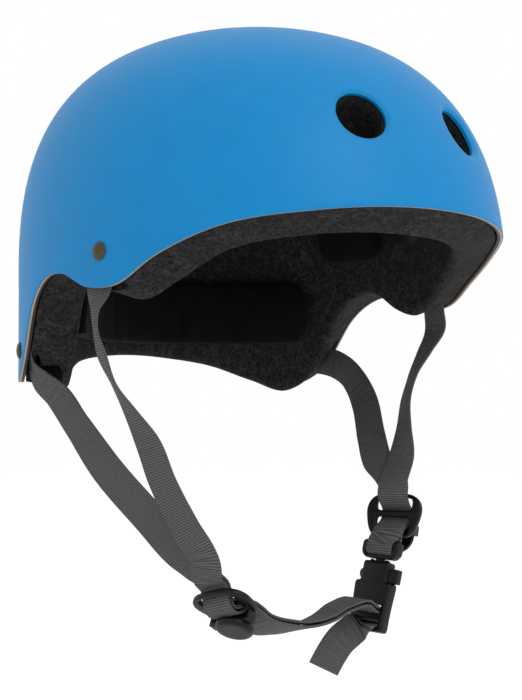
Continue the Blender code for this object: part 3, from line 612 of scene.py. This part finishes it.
PADS = (
    ("brow_pad", (-80, 80), 0.0270, 0.0560, 96, brow_corner_gap),
    ("rear_pad", (122, 238), -0.0240, 0.0140, 72, None),
    ("right_side_pad", (86, 116), 0.0210, 0.0620, 24, None),
    ("left_side_pad", (-116, -86), 0.0210, 0.0620, 24, None),
)
for pad_name, pad_angles, pad_low, pad_high, pad_columns, pad_lean in PADS:
    pad = slab(
        "sewn_" + pad_name, pad_angles, pad_low + PAD_TRIM, pad_high - PAD_TRIM, PAD_INSET + PAD_TRIM / 2,
        PAD_THICKNESS - PAD_TRIM, pad_columns, 12, pad_lean,
    )
    stuff(pad, 3.0, 0.0012)
    pad.data.materials.clear()
    pad.data.materials.append(pad_fabric)
    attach(pad, "root")
    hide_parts(pad_name)

crown_low, crown_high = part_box("crown_pad")
crown_middle = (crown_low + crown_high) / 2
# Share of the pad's radius against share of its thickness, from the top's middle round to the underside's
CROWN_PROFILE = (
    (0.0, 1.0), (0.55, 0.97), (0.85, 0.86), (0.97, 0.66), (1.0, 0.42), (0.99, 0.14), (0.93, 0.0), (0.0, 0.0),
)
crown_mesh = bpy.data.meshes.new("sewn_crown_pad")
crown_radius = (crown_high.x - crown_low.x) / 2 - PAD_TRIM / 2
crown_thick = crown_high.z - crown_low.z
crown_mesh.from_pydata(
    [(share * crown_radius, 0.0, tall * crown_thick) for share, tall in CROWN_PROFILE],
    [(k, k + 1) for k in range(len(CROWN_PROFILE) - 1)], [],
)
crown = bpy.data.objects.new("sewn_crown_pad", crown_mesh)
scene.collection.objects.link(crown)
turn = crown.modifiers.new("turned", "SCREW")
turn.steps = 64
turn.render_steps = 64
turn.use_merge_vertices = True
turn.merge_threshold = 0.00001
bake_modifiers(crown)
crown.data.transform(Matrix.Translation((crown_middle.x, crown_middle.y, crown_low.z)))
face_outwards(crown)
stuff(crown, 1.5, 0.0004)
crown.data.materials.clear()
crown.data.materials.append(pad_fabric)
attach(crown, "root")
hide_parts("crown_pad")

# Woven hook tape: rows of stiff nylon hooks 1.6 mm apart, too fine to model, drawn as a fine dotted relief.
hooks, tree = new_material("woven_hook_tape")
place = add_node(tree, "ShaderNodeTexCoord")
dots = add_node(tree, "ShaderNodeTexVoronoi", {
    "Vector": place.outputs["Object"], "Scale": 620.0, "Randomness": 0.2,
})
hook_bump = add_node(tree, "ShaderNodeBump", {
    "Height": dots.outputs["Distance"], "Strength": 0.8, "Distance": 0.0004,
})
hook_shader = add_node(tree, "ShaderNodeBsdfPrincipled", {
    "Base Color": linear("#0E0E0E"), "Roughness": 0.7, "Normal": hook_bump.outputs["Normal"],
})
finish_material(tree, hook_shader)
for patch_node in ("crown_patch", "right_brow_patch", "left_brow_patch", "right_side_patch", "left_side_patch",
                   "right_rear_patch", "left_rear_patch"):
    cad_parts[patch_node].material_slots[0].material = hooks


# ---------------------------------------------------------------- webbing straps
# Woven nylon webbing, 16 mm wide and 1.3 mm thick. Two lengths join at the right splitter and run on together
# under the chin to the buckle; one length makes both left straps and turns round the bar of the plug.

WEBBING_WIDTH = 0.0160
WEBBING_THICKNESS = 0.0013
LAYER_OFFSET = 0.00118
WEBBING_EDGE = 0.00045
RIB_SPACING = 0.0012
CORD_SPACING = 0.0010
STRAP_HOLE = 0.0026
RIGHT_SPLITTER = ((-54.5, -36.0, -150.4), (0.172, -0.956, 0.239), (-0.843, -0.018, 0.537))
LEFT_SPLITTER = ((60.4, -34.0, -115.0), (-0.30, 0.954, 0.0), (0.30, 0.094, 0.949))
BUCKLE = ((46.5, -35.0, -146.4), (0.090, -0.996, -0.026), (0.278, 0.0, 0.96))
RIVET_PLACES = {
    "right_front": (81.0, 0.0123),
    "right_rear": (124.5, -0.0298),
    "left_front": (-81.0, 0.0123),
    "left_rear": (-124.5, -0.0298),
}


def local_frame(origin_mm, width_axis, up_axis):
    """Matrix of a fitting: X along the webbing's width, Z along the webbing, Y through it."""
    up = Vector(up_axis).normalized()
    width = Vector(width_axis)
    width = (width - up * width.dot(up)).normalized()
    matrix = Matrix((width, up.cross(width), up)).transposed().to_4x4()
    matrix.translation = Vector(origin_mm) * MM + Vector((0.0, 0.0, EQUATOR))
    return matrix


right_splitter_frame = local_frame(*RIGHT_SPLITTER)
left_splitter_frame = local_frame(*LEFT_SPLITTER)
buckle_frame = local_frame(*BUCKLE)


def free(x, y, z, width):
    """Station in millimetres from the equator plane's centre, with the webbing's width direction."""
    return (Vector((x, y, z)) * MM + Vector((0, 0, EQUATOR)), Vector(width))


def fitted(fitting, y, z):
    """Station in a fitting's own millimetres, with the fitting's width axis."""
    return (fitting @ (Vector((0, y, z)) * MM), fitting.to_3x3() @ Vector((1, 0, 0)))


def splitter_weave(fitting, sign=1):
    """Centre line of the webbing through a splitter, from above its top bar to below its foot."""
    weave = ((5.2, 13.6), (4.9, 10.9), (1.3, 7.4), (-3.3, 4.6), (-4.2, 1.8), (-3.0, -1.2), (0.2, -4.4),
             (3.4, -7.2), (4.7, -10.4), (4.9, -14.5))
    return [(fitting @ (Vector((0, y, z)) * MM), fitting.to_3x3() @ Vector((sign, 0, 0))) for y, z in weave]


def flat_sweep():
    """Geometry nodes that sweep a woven band along a path, across the path's own crosswise directions."""
    tree = bpy.data.node_groups.new("webbing_sweep", "GeometryNodeTree")
    face = tree.interface
    face.new_socket("Path", in_out="INPUT", socket_type="NodeSocketGeometry")
    for label in ("Width", "Thickness", "Edge Rounding"):
        face.new_socket(label, in_out="INPUT", socket_type="NodeSocketFloat")
    face.new_socket("Finish", in_out="INPUT", socket_type="NodeSocketMaterial")
    face.new_socket("Band", in_out="OUTPUT", socket_type="NodeSocketGeometry")
    given = add_node(tree, "NodeGroupInput")
    path = add_node(tree, "GeometryNodeMeshToCurve", {"Mesh": given.outputs["Path"]})
    crosswise = add_node(tree, "GeometryNodeInputNamedAttribute", {"Name": "crosswise"}, data_type="FLOAT_VECTOR")
    aimed = add_node(tree, "GeometryNodeSetCurveNormal", {
        "Curve": path.outputs["Curve"], "Normal": crosswise.outputs["Attribute"],
    }, mode="FREE")
    along = add_node(tree, "GeometryNodeSplineParameter")
    measured = add_node(tree, "GeometryNodeStoreNamedAttribute", {
        "Geometry": aimed.outputs["Curve"], "Name": "run", "Value": along.outputs["Length"],
    }, data_type="FLOAT", domain="POINT")
    band = add_node(tree, "GeometryNodeCurvePrimitiveQuadrilateral", {
        "Width": given.outputs["Width"], "Height": given.outputs["Thickness"],
    }, mode="RECTANGLE")
    rounded = add_node(tree, "GeometryNodeFilletCurve", {
        "Curve": band.outputs["Curve"], "Count": 3, "Radius": given.outputs["Edge Rounding"],
    }, mode="POLY")
    spot = add_node(tree, "GeometryNodeInputPosition")
    spot_parts = add_node(tree, "ShaderNodeSeparateXYZ", {"Vector": spot.outputs["Position"]})
    profile = add_node(tree, "GeometryNodeStoreNamedAttribute", {
        "Geometry": rounded.outputs["Curve"], "Name": "across", "Value": spot_parts.outputs["X"],
    }, data_type="FLOAT", domain="POINT")
    swept = add_node(tree, "GeometryNodeCurveToMesh", {
        "Curve": measured.outputs["Geometry"], "Profile Curve": profile.outputs["Geometry"], "Fill Caps": True,
    })
    real = add_node(tree, "GeometryNodeRealizeInstances", {"Geometry": swept.outputs["Mesh"]})
    finished = add_node(tree, "GeometryNodeSetMaterial", {
        "Geometry": real.outputs["Geometry"], "Material": given.outputs["Finish"],
    })
    add_node(tree, "NodeGroupOutput", {"Band": finished.outputs["Geometry"]})
    return tree


def sweep_band(name, stations, finish, offset=0.0, ramp=(0.0, 0.001), step=0.0016):
    """A band of webbing along its stations; the offset lifts it off its centre line along its face."""
    places = [Vector(s[0]) for s in stations]
    runs = [0.0]
    for a, b in zip(places, places[1:]):
        runs.append(runs[-1] + (b - a).length)
    table = [(run, *place, *Vector(s[1]).normalized()) for run, place, s in zip(runs, places, stations)]
    count = int(round(runs[-1] / step))
    rows = [smooth_steps(runs[-1] * k / count, table) for k in range(count + 1)]
    centres = [Vector(r[:3]) for r in rows]
    verts, crosswise = [], []
    for k, row in enumerate(rows):
        ahead = (centres[min(k + 1, count)] - centres[max(k - 1, 0)]).normalized()
        width = Vector(row[3:])
        width = (width - ahead * width.dot(ahead)).normalized()
        share = min(max((k * step - ramp[0]) / (ramp[1] - ramp[0]), 0.0), 1.0)
        verts.append(centres[k] + ahead.cross(width) * offset * share)
        crosswise.append(width)
    mesh = bpy.data.meshes.new(name)
    mesh.from_pydata([tuple(v) for v in verts], [(k, k + 1) for k in range(count)], [])
    directions = mesh.attributes.new("crosswise", "FLOAT_VECTOR", "POINT")
    directions.data.foreach_set("vector", np.array(crosswise, dtype=np.float32).ravel())
    made = bpy.data.objects.new(name, mesh)
    scene.collection.objects.link(made)
    sweep = made.modifiers.new("sweep", "NODES")
    sweep.node_group = webbing_tree
    values = {"Width": WEBBING_WIDTH, "Thickness": WEBBING_THICKNESS, "Edge Rounding": WEBBING_EDGE, "Finish": finish}
    for item in webbing_tree.interface.items_tree:
        if item.in_out == "INPUT" and item.name in values:
            sweep[item.identifier] = values[item.name]
    bake_modifiers(made)
    shape = bmesh.new()
    shape.from_mesh(made.data)
    bmesh.ops.recalc_face_normals(shape, faces=shape.faces)
    shape.to_mesh(made.data)
    shape.free()
    shade(made, 50.0)
    return made


# Woven nylon webbing: mid grey yarn, weft ribs every 1.2 mm and warp cords every 1.0 mm, dull with a slight sheen.
webbing_finish, tree = new_material("woven_grey_nylon")
run = add_node(tree, "ShaderNodeAttribute", attribute_name="run")
across = add_node(tree, "ShaderNodeAttribute", attribute_name="across")
place = add_node(tree, "ShaderNodeTexCoord")
yarn = add_node(tree, "ShaderNodeTexNoise", {"Vector": place.outputs["Object"], "Scale": 900.0, "Detail": 3.0})
rib_phase = add_node(tree, "ShaderNodeMath", {
    0: run.outputs["Fac"], 1: math.tau / RIB_SPACING,
}, operation="MULTIPLY")
rib = add_node(tree, "ShaderNodeMath", {0: rib_phase.outputs["Value"]}, operation="SINE")
cord_phase = add_node(tree, "ShaderNodeMath", {
    0: across.outputs["Fac"], 1: math.tau / CORD_SPACING,
}, operation="MULTIPLY")
cord = add_node(tree, "ShaderNodeMath", {0: cord_phase.outputs["Value"]}, operation="SINE")
cord_share = add_node(tree, "ShaderNodeMath", {0: cord.outputs["Value"], 1: 0.35, 2: yarn.outputs["Fac"]},
                      operation="MULTIPLY_ADD")
weave_height = add_node(tree, "ShaderNodeMath", {0: rib.outputs["Value"], 1: cord_share.outputs["Value"]},
                        operation="ADD")
# The webbing's colour follows the weave's height: painted shade darkens the grooves between ribs and cords, painted
# highlight lightens their crests, and the yarn noise adds random tone.
painted_groove_shade_and_yarn_share = add_node(tree, "ShaderNodeMapRange", {
    "Value": weave_height.outputs["Value"], "From Min": -1.0, "From Max": 1.8, "To Min": 0.0, "To Max": 1.0,
})
webbing_tone_with_painted_groove_shade = add_node(tree, "ShaderNodeMix", {
    "Factor": painted_groove_shade_and_yarn_share.outputs["Result"], 6: linear("#2B2B2C"), 7: linear("#5E5E5F"),
}, data_type="RGBA")
weave_bump = add_node(tree, "ShaderNodeBump", {
    "Height": weave_height.outputs["Value"], "Strength": 0.55, "Distance": 0.00022,
})
weave_shader = add_node(tree, "ShaderNodeBsdfPrincipled", {
    "Base Color": webbing_tone_with_painted_groove_shade.outputs[2], "Roughness": 0.75, "Normal": weave_bump.outputs["Normal"],
    "Specular IOR Level": 0.2,
})
finish_material(tree, weave_shader)

webbing_tree = flat_sweep()
chin = splitter_weave(right_splitter_frame) + [
    free(-31.3, -33.0, -161.0, (0.35, -0.85, 0.40)),
    free(-18.1, -33.2, -164.0, (0.20, -0.92, 0.34)),
    free(-4.7, -33.0, -164.9, (0.07, -0.97, 0.22)),
    free(10.9, -33.0, -162.4, (0.02, -0.99, 0.10)),
    free(22.3, -33.6, -157.8, (0.05, -0.99, 0.02)),
]
for pierce in ((-10.0, -13.2), (-5.5, -14.6), (-1.6, -15.0), (1.6, -15.2), (3.6, -16.8), (3.6, -19.6),
               (1.6, -21.2), (-1.6, -21.4)):
    chin.append(fitted(buckle_frame, *pierce))
tail = [
    fitted(buckle_frame, -3.4, -21.7),
    fitted(buckle_frame, -5.2, -22.4),
    free(32.4, -31.8, -170.0, (0.36, -0.88, -0.30)),
    free(28.6, -27.2, -175.8, (0.58, -0.62, -0.54)),
    free(25.0, -18.0, -191.2, (0.61, -0.51, -0.60)),
]
right_front = [
    free(-109.2, -19.8, 19.5, (0.14, -0.93, -0.34)),
    free(-110.0, -17.1, 12.3, (0.14, -0.93, -0.34)),
    free(-110.4, -14.0, 3.0, (0.11, -0.95, -0.30)),
    free(-110.6, -11.5, -5.0, (0.06, -0.98, -0.20)),
    free(-111.3, -9.8, -14.0, (-0.40, -0.90, 0.0)),
    free(-110.8, -9.4, -22.0, (-0.50, -0.85, -0.05)),
    free(-108.0, -10.5, -34.0, (-0.42, -0.90, 0.08)),
    free(-103.0, -13.5, -48.0, (-0.52, -0.84, 0.0)),
    free(-96.7, -17.8, -61.0, (-0.28, -0.96, 0.05)),
    free(-90.0, -22.0, -75.0, (0.12, -0.99, 0.10)),
    free(-84.6, -25.4, -91.5, (0.25, -0.96, 0.0)),
    free(-75.5, -32.5, -113.6, (0.31, -0.94, 0.10)),
    free(-69.0, -37.5, -128.0, (0.38, -0.91, 0.12)),
]
right_rear = [
    free(-96.5, 67.1, -22.5, (-0.48, -0.87, 0.0)),
    free(-96.5, 67.1, -29.8, (-0.48, -0.87, 0.0)),
    free(-95.8, 66.3, -36.5, (-0.44, -0.89, 0.08)),
    free(-92.5, 62.5, -45.0, (0.0, -0.97, 0.20)),
    free(-88.3, 55.2, -52.0, (0.16, -0.94, 0.29)),
    free(-85.0, 42.0, -67.0, (0.20, -0.92, 0.30)),
    free(-80.7, 23.0, -88.0, (0.48, -0.65, 0.55)),
    free(-73.4, -1.6, -111.0, (0.50, -0.62, 0.55)),
    free(-70.4, -26.3, -129.7, (0.26, -0.90, 0.30)),
]
left_front = [
    free(109.4, -17.0, 19.5, (-0.14, -0.99, 0.0)),
    free(110.0, -17.1, 12.3, (-0.14, -0.99, 0.0)),
    free(109.8, -17.6, 3.0, (-0.15, -0.98, 0.10)),
    free(109.4, -19.0, -6.0, (-0.14, -0.98, 0.05)),
    free(108.6, -20.5, -15.0, (-0.10, -0.99, 0.05)),
    free(101.0, -19.5, -28.0, (-0.35, -0.93, 0.0)),
    free(90.5, -20.0, -42.0, (-0.57, -0.82, 0.0)),
    free(84.0, -21.5, -52.5, (-0.55, -0.83, 0.0)),
    free(76.5, -26.0, -70.0, (-0.35, -0.93, 0.0)),
    free(70.5, -30.0, -84.0, (0.10, -0.98, 0.0)),
]
left_rear = [
    free(69.0, -14.0, -86.0, (0.42, -0.88, 0.12)),
    free(78.1, -1.0, -74.0, (0.36, -0.90, 0.20)),
    free(91.5, 17.5, -54.5, (0.30, -0.85, 0.40)),
    free(96.5, 28.0, -45.5, (0.15, -0.75, 0.60)),
    free(100.5, 41.0, -37.0, (0.05, -0.55, 0.83)),
    free(101.2, 54.0, -32.0, (0.10, -0.35, 0.93)),
    free(96.9, 67.3, -29.8, (0.05, -0.10, 0.98)),
    free(93.3, 73.3, -29.0, (0.05, -0.10, 0.98)),
]
layer_shift = left_splitter_frame.to_3x3() @ Vector((0, LAYER_OFFSET, 0))
left_weave = splitter_weave(left_splitter_frame, -1)[:-1]
left_down = [(spot + layer_shift, width) for spot, width in left_weave]
left_up = [(spot - layer_shift, width) for spot, width in reversed(left_weave)]
plug_turn = [
    fitted(buckle_frame, y, z)
    for y, z in ((-3.0, 20.0), (-3.1, 17.0), (-3.0, 14.8), (0.0, 13.0), (3.0, 14.8), (3.1, 17.0), (3.0, 20.0))
]
BANDS = (
    ("right_front_strap", right_front + chin, LAYER_OFFSET, (0.110, 0.150), ("right_front",)),
    ("right_rear_strap", right_rear + chin + tail, -LAYER_OFFSET, (0.100, 0.140), ("right_rear",)),
    ("left_strap", left_front + left_down + plug_turn + left_up + left_rear, 0.0, (0.0, 0.001),
     ("left_front", "left_rear")),
)
for band_node, stations, band_offset, band_ramp, band_rivets in BANDS:
    band = sweep_band("woven_" + band_node, stations, webbing_finish, band_offset, band_ramp)
    combine(band, [
        round_bar("strap_punch", STRAP_HOLE, 0.008, wall_frame(*RIVET_PLACES[rivet], SHELL_WALL), 32)
        for rivet in band_rivets
    ], "DIFFERENCE")
    if band_node == "left_strap":
        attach(band, "root")
    else:
        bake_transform(band)
    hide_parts(band_node)


# ---------------------------------------------------------------- rivets and washers
# Solid steel rivets with low domed heads outside the shell, set over washers behind the liner side of the strap.
# The steel is browned, so only its worn edges shine.

# Browned steel: dark brown oxide, warmer and paler in random patches.
browned, tree = new_material("browned_steel")
place = add_node(tree, "ShaderNodeTexCoord")
oxide = add_node(tree, "ShaderNodeTexNoise", {"Vector": place.outputs["Object"], "Scale": 700.0, "Detail": 4.0})
oxide_tone = add_node(tree, "ShaderNodeMix", {
    "Factor": oxide.outputs["Fac"], 6: linear("#2E2822"), 7: linear("#5E5244"),
}, data_type="RGBA")
oxide_gloss = add_node(tree, "ShaderNodeMapRange", {
    "Value": oxide.outputs["Fac"], "From Min": 0.3, "From Max": 0.7, "To Min": 0.32, "To Max": 0.52,
})
browned_shader = add_node(tree, "ShaderNodeBsdfPrincipled", {
    "Base Color": oxide_tone.outputs[2], "Metallic": 0.85, "Roughness": oxide_gloss.outputs["Result"],
})
finish_material(tree, browned_shader)


def turn_profile(name, profile, matrix, steps=64):
    """Turned piece: a profile of radius and height in millimetres, spun about the matrix's Z."""
    mesh = bpy.data.meshes.new(name)
    spots = [(radius * MM, 0.0, height * MM) for radius, height in profile]
    mesh.from_pydata(spots, [(k, k + 1) for k in range(len(profile) - 1)], [])
    made = bpy.data.objects.new(name, mesh)
    scene.collection.objects.link(made)
    spin = made.modifiers.new("turned", "SCREW")
    spin.steps = steps
    spin.render_steps = steps
    spin.use_merge_vertices = True
    spin.merge_threshold = 0.000002
    bake_modifiers(made)
    made.data.transform(matrix)
    face_outwards(made)
    return made


RIVET_PROFILE = (
    (0.0, 1.8), (1.2, 1.75), (2.3, 1.55), (3.2, 1.2), (3.9, 0.8), (4.2, 0.5), (4.25, 0.32), (4.1, 0.3), (2.0, 0.3),
    (2.0, -7.2), (3.3, -7.2), (3.4, -7.4), (3.3, -7.9), (2.8, -8.1), (0.0, -8.1),
)
for rivet_place, (rivet_turn, rivet_rise) in RIVET_PLACES.items():
    rivet_frame = wall_frame(rivet_turn, rivet_rise, 0.0)
    rivet = turn_profile("set_" + rivet_place + "_rivet", RIVET_PROFILE, rivet_frame)
    shade(rivet, 40.0)
    rivet.data.materials.append(browned)
    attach(rivet, "root")
    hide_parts(rivet_place + "_rivet")
    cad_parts[rivet_place + "_washer"].material_slots[0].material = browned


# ---------------------------------------------------------------- strap splitters and locking caps
# Moulded acetal frames with two slots. The webbing is threaded up over the middle bar, and a round cap on two
# legs snaps over it to hold the strap where it was set.

def rounded_outline(points, radius):
    """Closed outline with its corners rounded, no arc reaching past the middle of a side."""
    done = []
    for before, here, after in zip(points[-1:] + points[:-1], points, points[1:] + points[:1]):
        here = Vector(here)
        legs = [Vector(p) - here for p in (before, after)]
        ends = [here + leg.normalized() * min(radius, leg.length * 0.49) for leg in legs]
        for k in range(7):
            t = k / 6
            done.append(ends[0].lerp(here, t).lerp(here.lerp(ends[1], t), t))
    return done


def mirrored(half):
    """The whole outline of a shape given by its right half, listed from the top down."""
    return half + [(-x, z) for x, z in reversed(half)]


def oblong(half_x, half_z, centre_z):
    return [(half_x, centre_z - half_z), (half_x, centre_z + half_z), (-half_x, centre_z + half_z),
            (-half_x, centre_z - half_z)]


def plate(name, loops, thickness, rounding, matrix):
    """Flat moulding across a matrix's XZ plane: outlines in millimetres, the first solid and the rest holes."""
    curve = bpy.data.curves.new(name, "CURVE")
    curve.dimensions = "2D"
    curve.fill_mode = "BOTH"
    curve.extrude = (thickness / 2 - rounding) * MM
    curve.bevel_depth = rounding * MM
    curve.bevel_resolution = 3
    curve.offset = -rounding * MM
    for loop in loops:
        spline = curve.splines.new("POLY")
        spline.points.add(len(loop) - 1)
        for point, (x, z) in zip(spline.points, loop):
            point.co = (x * MM, z * MM, 0.0, 1.0)
        spline.use_cyclic_u = True
    drawn = bpy.data.objects.new(name, curve)
    scene.collection.objects.link(drawn)
    bpy.context.view_layer.update()
    mesh = bpy.data.meshes.new_from_object(drawn.evaluated_get(bpy.context.evaluated_depsgraph_get()))
    bpy.data.objects.remove(drawn, do_unlink=True)
    shape = bmesh.new()
    shape.from_mesh(mesh)
    bmesh.ops.remove_doubles(shape, verts=shape.verts, dist=0.000004)
    bmesh.ops.transform(shape, matrix=matrix @ Matrix.Rotation(math.pi / 2, 4, "X"), verts=shape.verts)
    bmesh.ops.recalc_face_normals(shape, faces=shape.faces)
    shape.to_mesh(mesh)
    shape.free()
    made = bpy.data.objects.new(name, mesh)
    scene.collection.objects.link(made)
    return made


# Moulded acetal: near black, satin, with a faint spark-eroded grain and soft highlights along the rounded bars.
acetal, tree = new_material("moulded_black_acetal")
place = add_node(tree, "ShaderNodeTexCoord")
spark = add_node(tree, "ShaderNodeTexNoise", {"Vector": place.outputs["Object"], "Scale": 1500.0, "Detail": 2.0})
handled = add_node(tree, "ShaderNodeTexNoise", {"Vector": place.outputs["Object"], "Scale": 150.0, "Detail": 4.0})
acetal_gloss = add_node(tree, "ShaderNodeMapRange", {
    "Value": handled.outputs["Fac"], "From Min": 0.3, "From Max": 0.7, "To Min": 0.34, "To Max": 0.46,
})
acetal_bump = add_node(tree, "ShaderNodeBump", {
    "Height": spark.outputs["Fac"], "Strength": 0.12, "Distance": 0.00015,
})
acetal_shader = add_node(tree, "ShaderNodeBsdfPrincipled", {
    "Base Color": linear("#040404"), "Roughness": acetal_gloss.outputs["Result"],
    "Normal": acetal_bump.outputs["Normal"], "Specular IOR Level": 0.22,
})
finish_material(tree, acetal_shader)

SPLITTER_HALF = [(6.5, 12.6), (11.0, 11.4), (14.2, 8.6), (15.6, 4.4), (15.0, -0.5), (13.4, -6.2), (11.2, -9.4),
                 (8.2, -10.8)]
CAP_PROFILE = (
    (0.0, 2.45), (4.6, 2.5), (6.6, 2.55), (7.6, 2.4), (8.5, 2.0), (9.05, 1.3), (9.15, 0.6), (9.15, -0.4),
    (8.9, -0.75), (0.0, -0.75),
)
CAP_LEG = (0.0020, 0.0042, 0.0052)
CAP_BRIDGE = (0.0238, 0.0014, 0.0052)
CAP_EDGE = 0.0003


def dress_acetal(made, body, node):
    made.data.materials.clear()
    made.data.materials.append(acetal)
    shade(made, 40.0)
    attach(made, body)
    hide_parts(node)


for side, splitter_frame in (("right", right_splitter_frame), ("left", left_splitter_frame)):
    splitter = plate("moulded_" + side + "_splitter", [
        rounded_outline(mirrored(SPLITTER_HALF), 3.0),
        rounded_outline(oblong(10.0, 3.4, 6.8), 2.8),
        rounded_outline(oblong(9.2, 4.4, -4.3), 1.5),
    ], 3.0, 0.9, splitter_frame)
    dress_acetal(splitter, side + "_splitter_body", side + "_splitter")
    cap_frame = splitter_frame @ Matrix.Translation((0, -0.0072, -0.0080)) @ Matrix.Rotation(math.pi / 2, 4, "X")
    cap = turn_profile("snap_" + side + "_cap", CAP_PROFILE, cap_frame, 80)
    legs = [block("cap_bridge", CAP_BRIDGE, (0, -0.0064, -0.0055), splitter_frame, CAP_EDGE)]
    for sign in (1, -1):
        legs.append(block("cap_leg", CAP_LEG, (sign * 0.0109, -0.00388, -0.0055), splitter_frame, CAP_EDGE))
    combine(cap, legs, "UNION")
    dress_acetal(cap, side + "_cap_body", side + "_splitter_cap")


# ---------------------------------------------------------------- side release buckle
# Three acetal mouldings: the plug the left strap turns round, its two sprung prongs with rounded thumb pads, and
# the socket whose two slots grip the chin webbing.

PLUG_HALF = [(9.2, 20.6), (11.0, 19.9), (11.5, 18.6), (11.5, 14.2), (10.2, 12.2), (8.3, 11.0)]
PRONG_OUTLINE = [(3.6, 10.6), (5.8, 10.6), (6.2, 6.2), (8.9, 5.9), (10.6, 4.6), (11.0, 3.0), (10.5, 1.2),
                 (9.2, -0.2), (8.4, -5.0), (7.0, -7.2), (6.1, -6.6), (6.6, -0.4), (5.9, 3.4), (4.2, 6.6)]
SOCKET_HALF = [(7.6, 9.6), (8.3, 8.6), (8.3, -0.6), (11.1, -0.8), (11.6, -2.6), (10.9, -14.0), (10.6, -25.4),
               (9.6, -26.0)]
SLOT_HALF = 0.0085
HOLLOW = 0.0040

plug = plate("moulded_plug", [rounded_outline(mirrored(PLUG_HALF), 1.2)], 5.8, 1.1, buckle_frame)
combine(plug, [
    block("plug_slot", (2 * SLOT_HALF, 0.0120, 0.0032), (0, 0, 0.0138), buckle_frame, 0.0005),
    block("outer_relief", (2 * SLOT_HALF, 0.0040, 0.0080), (0, 0.0037, 0.0190), buckle_frame, 0.0004),
    block("inner_relief", (2 * SLOT_HALF, 0.0040, 0.0080), (0, -0.0037, 0.0190), buckle_frame, 0.0004),
    block("plug_notch", (2 * SLOT_HALF + 0.0009, 0.0120, 0.0080), (0, 0, 0.0218), buckle_frame, 0.0005),
], "DIFFERENCE")
combine(plug, [block("plug_tongue", (0.0046, 0.0030, 0.0165), (0, 0, 0.0033), buckle_frame, 0.0006)], "UNION")
dress_acetal(plug, "root", "buckle_plug")

for sign, word in ((1, "front"), (-1, "rear")):
    sided = [(sign * x, z) for x, z in (PRONG_OUTLINE if sign > 0 else PRONG_OUTLINE[::-1])]
    prong = plate("sprung_" + word + "_prong", [rounded_outline(sided, 1.8)], 3.2, 0.8, buckle_frame)
    dress_acetal(prong, word + "_prong_body", word + "_prong")

socket = plate("moulded_socket", [rounded_outline(mirrored(SOCKET_HALF), 1.4)], 6.6, 1.3, buckle_frame)
socket_cutters = [
    block("mouth", (0.0132, HOLLOW, 0.0200), (0, 0, 0.0060), buckle_frame),
    block("pocket", (0.0192, HOLLOW, 0.0170), (0, 0, -0.0021), buckle_frame),
    block("bar_relief", (2 * SLOT_HALF, 0.0060, 0.0090), (0, 0.0032, -0.0182), buckle_frame, 0.0006),
]
for sign in (1, -1):
    socket_cutters.append(block(
        "window", (0.0080, HOLLOW, 0.0073), (sign * 0.0100, 0, 0.00275), buckle_frame, 0.0005,
    ))
for slot_rise in (-0.0147, -0.0218):
    socket_cutters.append(block(
        "webbing_slot", (2 * SLOT_HALF, 0.0120, 0.0050), (0, 0, slot_rise), buckle_frame, 0.0008,
    ))
combine(socket, socket_cutters, "DIFFERENCE")
dress_acetal(socket, "socket_body", "buckle_socket")
